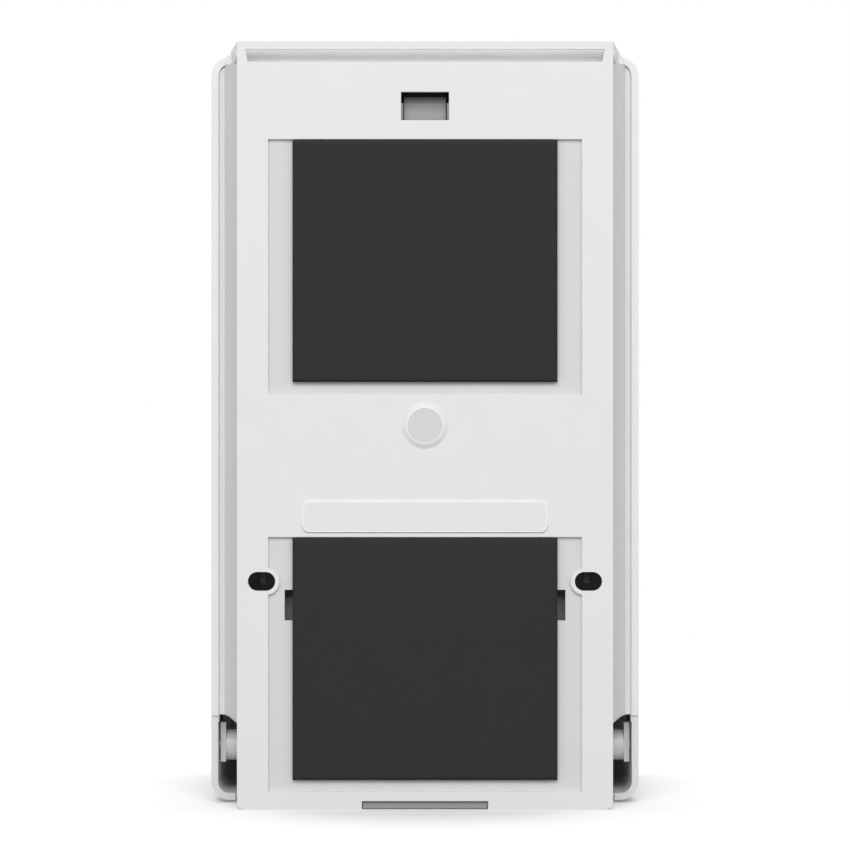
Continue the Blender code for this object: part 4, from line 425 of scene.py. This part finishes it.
def clear_plastic(name, color, roughness, alpha):
    """Tinted plastic that shows what stands behind it, with a slightly uneven wall."""
    clouds, waves, wave_depth, wave_strength = 60.0, 220.0, 0.00003, 0.4
    finish = Finish(name, color, roughness, {"Alpha": alpha})
    finish.set("Roughness", finish.noise(clouds, CLOUD_DETAIL).wander(UNEVEN_GLOSS) + roughness)
    finish.bump(finish.noise(waves), wave_depth, wave_strength)
    return finish.material


def metal(name, color, roughness, stretch):
    """Plated steel with fine drawn lines."""
    lines, darkest, gloss_spread, line_depth, line_strength = 700.0, 0.86, 0.16, 0.00002, 0.4
    finish = Finish(name, color, roughness, {"Metallic": 1.0})
    line = finish.noise(lines, stretch=stretch)
    finish.set("Base Color", finish.blend(line, tuple(channel * darkest for channel in color), color))
    finish.set("Roughness", line.wander(gloss_spread) + roughness)
    finish.bump(line, line_depth, line_strength)
    return finish.material


FINISHES = {
    # The housing's white carries painted shade and painted highlights
    "white_abs": housing_white_painted("moulded_white_painted_light", (0.81, 0.807, 0.795), 0.50),
    "cover_abs": moulded("cover_white", (0.84, 0.84, 0.835), 0.36, grain=0.2, mottle=0.006),
    "bar_abs": moulded("bar_white", (0.79, 0.79, 0.775), 0.38, grain=0.25, mottle=0.008),
    "grey_abs": moulded("moulded_grey", (0.35, 0.34, 0.315), 0.5, mottle=0.02),
    "black_foam": foam("black_foam", (0.024, 0.024, 0.024), 0.88),
    "grip_rubber": rubber("grip_rubber", (0.30, 0.31, 0.32), 0.72),
    "smoked_window": clear_plastic("smoked_window", (0.50, 0.55, 0.58), 0.10, alpha=0.5),
    "natural_pe": clear_plastic("natural_polyethylene", (0.76, 0.79, 0.80), 0.38, alpha=0.7),
    "cap_plastic": moulded("cap_plastic", (0.72, 0.73, 0.74), 0.45, grain=0.3, mottle=0.01),
    "pump_plastic": moulded("pump_plastic", (0.68, 0.70, 0.72), 0.40, grain=0.2, mottle=0.01),
    "seal_rubber": rubber("seal_rubber", (0.08, 0.08, 0.085), 0.8),
    "zinc_steel": metal("zinc_steel", (0.62, 0.63, 0.64), 0.34, stretch=(1, 6, 6)),
    "spring_steel": metal("spring_steel", (0.55, 0.56, 0.58), 0.28, stretch=(3, 3, 1)),
    # The latch's grey carries painted shade
    "latch_grey_painted_shade": latch_grey_painted_shade("latch_grey_painted_shade", (0.41, 0.41, 0.405), 0.48),
}


# Camera, lamps, room and floor
def set_camera():
    """Straight view of the back."""
    lens = bpy.data.cameras.new("camera")
    lens.sensor_width = SENSOR_WIDTH
    lens.lens = LENS
    lens.clip_start = NEAREST
    camera = bpy.data.objects.new("camera", lens)
    bpy.context.scene.collection.objects.link(camera)
    camera.location = CAMERA_PLACE
    camera.rotation_euler = (math.radians(90), 0, math.radians(180))
    bpy.context.scene.camera = camera


def softbox(name, place, width, height, watts):
    """Rectangular lamp, turned to the middle of the back."""
    light = bpy.data.lights.new(name, "AREA")
    light.shape = "RECTANGLE"
    light.size = width
    light.size_y = height
    light.energy = watts
    box = bpy.data.objects.new(name, light)
    bpy.context.scene.collection.objects.link(box)
    box.location = place
    box.rotation_euler = (-box.location).to_track_quat("-Z", "Y").to_euler()


def set_world():
    """White behind the object and through its clear pieces, and weaker light from all round."""
    world = bpy.data.worlds.new("studio")
    bpy.context.scene.world = world
    world.use_nodes = True
    nodes = world.node_tree.nodes
    nodes.remove(nodes["Background"])
    room = Graph(world.node_tree)
    light = room.node("ShaderNodeBackground", None, {"Color": ROOM_TINT, "Strength": ROOM_STRENGTH})
    backdrop = room.node("ShaderNodeBackground", None, {"Color": BACKDROP, "Strength": 1.0})
    seen = room.node("ShaderNodeLightPath", output="Is Camera Ray")
    seen_through = room.node("ShaderNodeLightPath", output="Is Transmission Ray")
    shown = room.node("ShaderNodeMixShader", None, {0: seen.most(seen_through), 1: light, 2: backdrop})
    room.feed(nodes["World Output"].inputs["Surface"], shown)


def set_floor():
    """White floor that carries the soft shadow and fades into the white room. It can't be seen from
    below, and it lets part of the soft light through to the object's underside."""
    half_size, roughness, let_through = 1.5, 0.9, 0.5
    seen_color, lighting_color = (0.965, 0.97, 0.985), (0.31, 0.31, 0.32)
    fade_start, fade_end = 0.18, 0.50
    bm = bmesh.new()
    bmesh.ops.create_grid(bm, x_segments=1, y_segments=1, size=half_size)
    bmesh.ops.translate(bm, verts=bm.verts, vec=(0, 0, cad_box[0][2]))
    mesh = bpy.data.meshes.new("floor")
    bm.to_mesh(mesh)
    bm.free()
    floor = bpy.data.objects.new("floor", mesh)
    bpy.context.scene.collection.objects.link(floor)
    finish = Finish("white_floor", seen_color, roughness, {"Specular IOR Level": 0.0})
    seen = finish.node("ShaderNodeLightPath", output="Is Camera Ray")
    finish.set("Base Color", finish.blend(seen, lighting_color, seen_color))
    length = {"operation": "LENGTH"}
    reach = finish.node("ShaderNodeVectorMath", length, {0: finish.place}, output="Value")
    below = finish.node("ShaderNodeNewGeometry", output="Backfacing")
    shown = reach.ramp(fade_start, fade_end, 1.0, 0.0) * (1 - below)
    finish.set("Alpha", let_through + seen * (shown - let_through))
    mesh.materials.append(finish.material)


# Pieces made from the solids' own meshes
def dress(thing, finish):
    thing.data.materials.clear()
    thing.data.materials.append(FINISHES[finish])


def mesh_of(name, bm, crease, drop_normals=False):
    """The bmesh as a smooth mesh, with every edge above the crease angle kept sharp. Normals stored
    with a solid's mesh can be dropped, because they would hide rounded edges."""
    mesh = bpy.data.meshes.new(name)
    bm.to_mesh(mesh)
    bm.free()
    stored = mesh.attributes.get("custom_normal")
    if stored and drop_normals:
        mesh.attributes.remove(stored)
    mesh.shade_smooth()
    mesh.set_sharp_from_angle(angle=crease)
    return mesh


def placed(name, mesh, slot, body):
    """A piece of that mesh, dressed and riding on its body."""
    piece = bpy.data.objects.new(name, mesh)
    bpy.context.scene.collection.objects.link(piece)
    dress(piece, slot)
    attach(piece, body)
    return piece


def merged_copy(node):
    """A solid's loose triangles with their shared corners joined."""
    bm = bmesh.new()
    bm.from_mesh(frame["nodes"][node].data)
    bmesh.ops.remove_doubles(bm, verts=bm.verts, dist=SAME_POINT)
    return bm


def softened(node, width):
    """A copy of a rigid node with its flat faces made whole and its sharp edges rounded."""
    bm = merged_copy(node)
    bmesh.ops.dissolve_limit(
        bm, angle_limit=FLAT_ANGLE, verts=bm.verts, edges=bm.edges, use_dissolve_boundaries=False
    )
    name = node + "_moulding"
    mesh = mesh_of(name, bm, ROUNDED_ANGLE, drop_normals=True)
    piece = placed(name, mesh, NODE_SLOT[node], NODE_BODY[node])
    if width:
        rounding = piece.modifiers.new("rounded_edges", "BEVEL")
        rounding.width = width
        rounding.segments = ROUNDING_SEGMENTS
        rounding.limit_method = "ANGLE"
        rounding.angle_limit = ROUNDED_ANGLE
        rounding.harden_normals = True
    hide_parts(node)
    return piece


def grip_pad():
    """The bar's grip panel, with its row of grooves for the heel of the hand."""
    node, count, margin, width, sink, lip = "push_pad", 9, 0.0030, 0.0011, 0.0006, 0.0002
    tiny, faces_front = 1e-7, -0.5
    low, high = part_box(node)
    left, right = low.x + margin, high.x - margin
    pitch = (high.z - low.z - 2 * margin) / (count - 1)
    levels = [low.z + margin + pitch * index for index in range(count)]
    bm = merged_copy(node)
    cuts = [((0, 0, level + shift), (0, 0, 1)) for level in levels for shift in (-width / 2, width / 2)]
    cuts += [((left, 0, 0), (1, 0, 0)), ((right, 0, 0), (1, 0, 0))]
    for place, normal in cuts:
        everything = bm.verts[:] + bm.edges[:] + bm.faces[:]
        bmesh.ops.bisect_plane(bm, geom=everything, dist=tiny, plane_co=place, plane_no=normal)
    sunk = []
    for face in bm.faces:
        middle = face.calc_center_median()
        in_groove = any(abs(middle.z - level) < width / 2 for level in levels)
        if in_groove and face.normal.y < faces_front and left < middle.x < right:
            sunk.append(face)
    bmesh.ops.inset_region(bm, faces=sunk, thickness=lip, depth=-sink, use_even_offset=True)
    bmesh.ops.recalc_face_normals(bm, faces=bm.faces)
    name = "push_pad_grip"
    piece = placed(name, mesh_of(name, bm, CREASE_ANGLE), NODE_SLOT[node], NODE_BODY[node])
    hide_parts(node)


# Small mouldings that the solids leave out
def drawn_along(bm, moves):
    """The bmesh's one loop of edges, drawn along by each move in turn, with both ends closed."""
    loop = bm.edges[:]
    for move in moves:
        made = bmesh.ops.extrude_edge_only(bm, edges=loop)["geom"]
        points = {item for item in made if isinstance(item, bmesh.types.BMVert)}
        edges = [item for item in made if isinstance(item, bmesh.types.BMEdge)]
        loop = [edge for edge in edges if points.issuperset(edge.verts)]
        bmesh.ops.transform(bm, matrix=move, verts=list(points))
    bmesh.ops.holes_fill(bm, edges=bm.edges[:])
    bmesh.ops.recalc_face_normals(bm, faces=bm.faces)


def rim_bead(hand, side):
    """Fine bead inside the cover's rear edge, which closes the gap to the housing's wing."""
    inner, outer, rear, front = 0.06416, 0.06452, -0.0209, -0.0217
    foot, bend_height, bend_side, bends, bend_angle = -0.0925, 0.1090, 0.0607, 9, math.radians(9)
    bm = bmesh.new()
    outline = ((inner, rear), (outer, rear), (outer, front), (inner, front))
    corners = [bm.verts.new((side * x, y, foot)) for x, y in outline]
    for index in range(len(corners)):
        bm.edges.new((corners[index - 1], corners[index]))
    rise = Matrix.Translation((0, 0, bend_height - foot))
    centre = Matrix.Translation((side * bend_side, 0, bend_height))
    swing = centre @ Matrix.Rotation(-side * bend_angle, 4, "Y") @ centre.inverted()
    drawn_along(bm, [rise] + [swing] * bends)
    name = f"rim_bead_{hand}"
    placed(name, mesh_of(name, bm, CREASE_ANGLE), "cover_abs", "cover")


def side_bar(name, side, across, depth, height, edge, slot):
    """Bar on the housing at one side of the middle, with all its edges rounded. Its places across,
    in depth and in height are pairs of a lower and an upper end."""
    segments = 3
    low_x, high_x = sorted(side * x for x in across)
    low, high = Vector((low_x, depth[0], height[0])), Vector((high_x, depth[1], height[1]))
    bm = bmesh.new()
    bmesh.ops.create_cube(bm, size=1.0)
    bmesh.ops.scale(bm, verts=bm.verts, vec=high - low)
    bmesh.ops.translate(bm, verts=bm.verts, vec=(low + high) / 2)
    bmesh.ops.bevel(
        bm, geom=bm.edges[:], offset=edge, segments=segments, profile=0.5, affect="EDGES", material=-1
    )
    bmesh.ops.recalc_face_normals(bm, faces=bm.faces)
    placed(name, mesh_of(name, bm, CREASE_ANGLE), slot, "chassis")


def latch_cheek(hand, side):
    """Cheek of the housing beside the latch, which shows at each side of its window."""
    across, depth, height, edge = (0.00672, 0.0082), (-0.0052, -0.0036), (0.0915, 0.0989), 0.0002
    side_bar(f"latch_cheek_{hand}", side, across, depth, height, edge, "grey_abs")


def slot_rib(hand, side):
    """Short rib behind each screw slot."""
    across, depth, height, edge = (0.0486, 0.0507), (-0.0096, -0.0070), (-0.0485, -0.0440), 0.0003
    side_bar(f"slot_rib_{hand}", side, across, depth, height, edge, "seal_rubber")


# Soft and wound pieces
def foam_block(node):
    """Die-cut foam pad: flat faces with a fine uneven skin, round edges and drawn-in sides."""
    edge, waist, skin, lumps, tiny = 0.0005, 0.00022, 0.00005, 900.0, 1e-7
    cuts_along = {0: 90, 1: 5, 2: 82}
    low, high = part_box(node)
    centre = (low + high) / 2
    half = (high - low) / 2
    # The cube runs from -1 to 1, so that a place in it is a share of the pad's half size
    bm = bmesh.new()
    bmesh.ops.create_cube(bm, size=2.0)
    for axis, cuts in cuts_along.items():
        along = [e for e in bm.edges if abs((e.verts[0].co - e.verts[1].co)[axis]) > tiny]
        bmesh.ops.subdivide_edges(bm, edges=along, cuts=cuts, use_grid_fill=True)
    for vert in bm.verts:
        share = vert.co.copy()
        place = share * half
        inset_x = half.x - abs(place.x)
        inset_z = half.z - abs(place.z)
        for inset, axis in ((inset_x, 0), (inset_z, 2)):
            if inset < tiny:
                bulge = math.cos(share.y * math.pi / 2)
                place[axis] -= math.copysign(waist * bulge, share[axis])
        near = min(inset_x, inset_z)
        if near < edge:
            drop = edge - math.sqrt(edge**2 - (edge - near) ** 2)
            place.y -= math.copysign(drop, share.y) * abs(share.y)
        if abs(share.y) > 1 - tiny:
            ripple = noise.noise((centre + place) * lumps) * 0.5 + 0.5
            place.y -= math.copysign(skin * ripple, share.y)
        vert.co = centre + place
    name = node + "_foam"
    block = placed(name, mesh_of(name, bm, NO_CREASE), "black_foam", NODE_BODY[node])
    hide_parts(node)


def coil_spring(node, wire, turns, slimmer=0.0):
    """Compression spring of round wire with a closed turn at each end. A slimmer coil stands that
    much inside the solid's own."""
    steps, sides, closed_turns, closed_climb = 36, 12, 0.85, 0.02
    low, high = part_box(node)
    middle = (low + high) / 2
    radius = (high.x - low.x - wire) / 2 - slimmer
    step_length = math.tau * radius / steps
    count = turns * steps
    closed_steps = closed_turns * steps / 2
    from_ends = [min(index, count - index) for index in range(count + 1)]
    climbs = [min(1.0, max(0.0, steps_in / closed_steps - 1)) + closed_climb for steps_in in from_ends]
    full_climb = (high.z - low.z - wire) / sum(climbs[1:])
    height = low.z + wire / 2
    stations = []
    for index, climb in enumerate(climbs):
        rise = climb * full_climb
        height += rise if index else 0.0
        angle = math.tau * index / steps
        outward = Vector((math.cos(angle), math.sin(angle), 0))
        forward = Vector((-outward.y, outward.x, rise / step_length)).normalized()
        facing = Matrix((outward, forward.cross(outward), forward)).transposed().to_4x4()
        centre = Vector((middle.x, middle.y, height)) + outward * radius
        stations.append(Matrix.Translation(centre) @ facing)
    bm = bmesh.new()
    bmesh.ops.create_circle(bm, segments=sides, radius=wire / 2, matrix=stations[0])
    drawn_along(bm, [after @ before.inverted() for before, after in zip(stations, stations[1:])])
    name = node + "_wire"
    spring = placed(name, mesh_of(name, bm, WIRE_CREASE_ANGLE), "spring_steel", NODE_BODY[node])
    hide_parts(node)
    return spring


set_camera()
set_world()
for name, (place, width, height, watts) in SOFTBOXES.items():
    softbox(name, place, width, height, watts)
set_floor()
mouldings = {node: softened(node, width) for node, width in EDGE_WIDTHS.items()}
# The latch lever wears the grey with painted shade
dress(mouldings["latch_lever"], "latch_grey_painted_shade")
# Left is at -X, as in the solids' names
for hand, side in (("left", -1), ("right", 1)):
    rim_bead(hand, side)
    latch_cheek(hand, side)
    slot_rib(hand, side)
grip_pad()
foam_block("foam_pad_upper")
foam_block("foam_pad_lower")
pump_coil = coil_spring("pump_spring", wire=0.001, turns=6)
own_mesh(pump_coil)
# The latch's blade swings close past its coil, so this one is slimmer than the solid
latch_coil = coil_spring("latch_spring", wire=0.0006, turns=7, slimmer=0.0006)
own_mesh(latch_coil)

bpy.context.scene.view_settings.view_transform = "Standard"
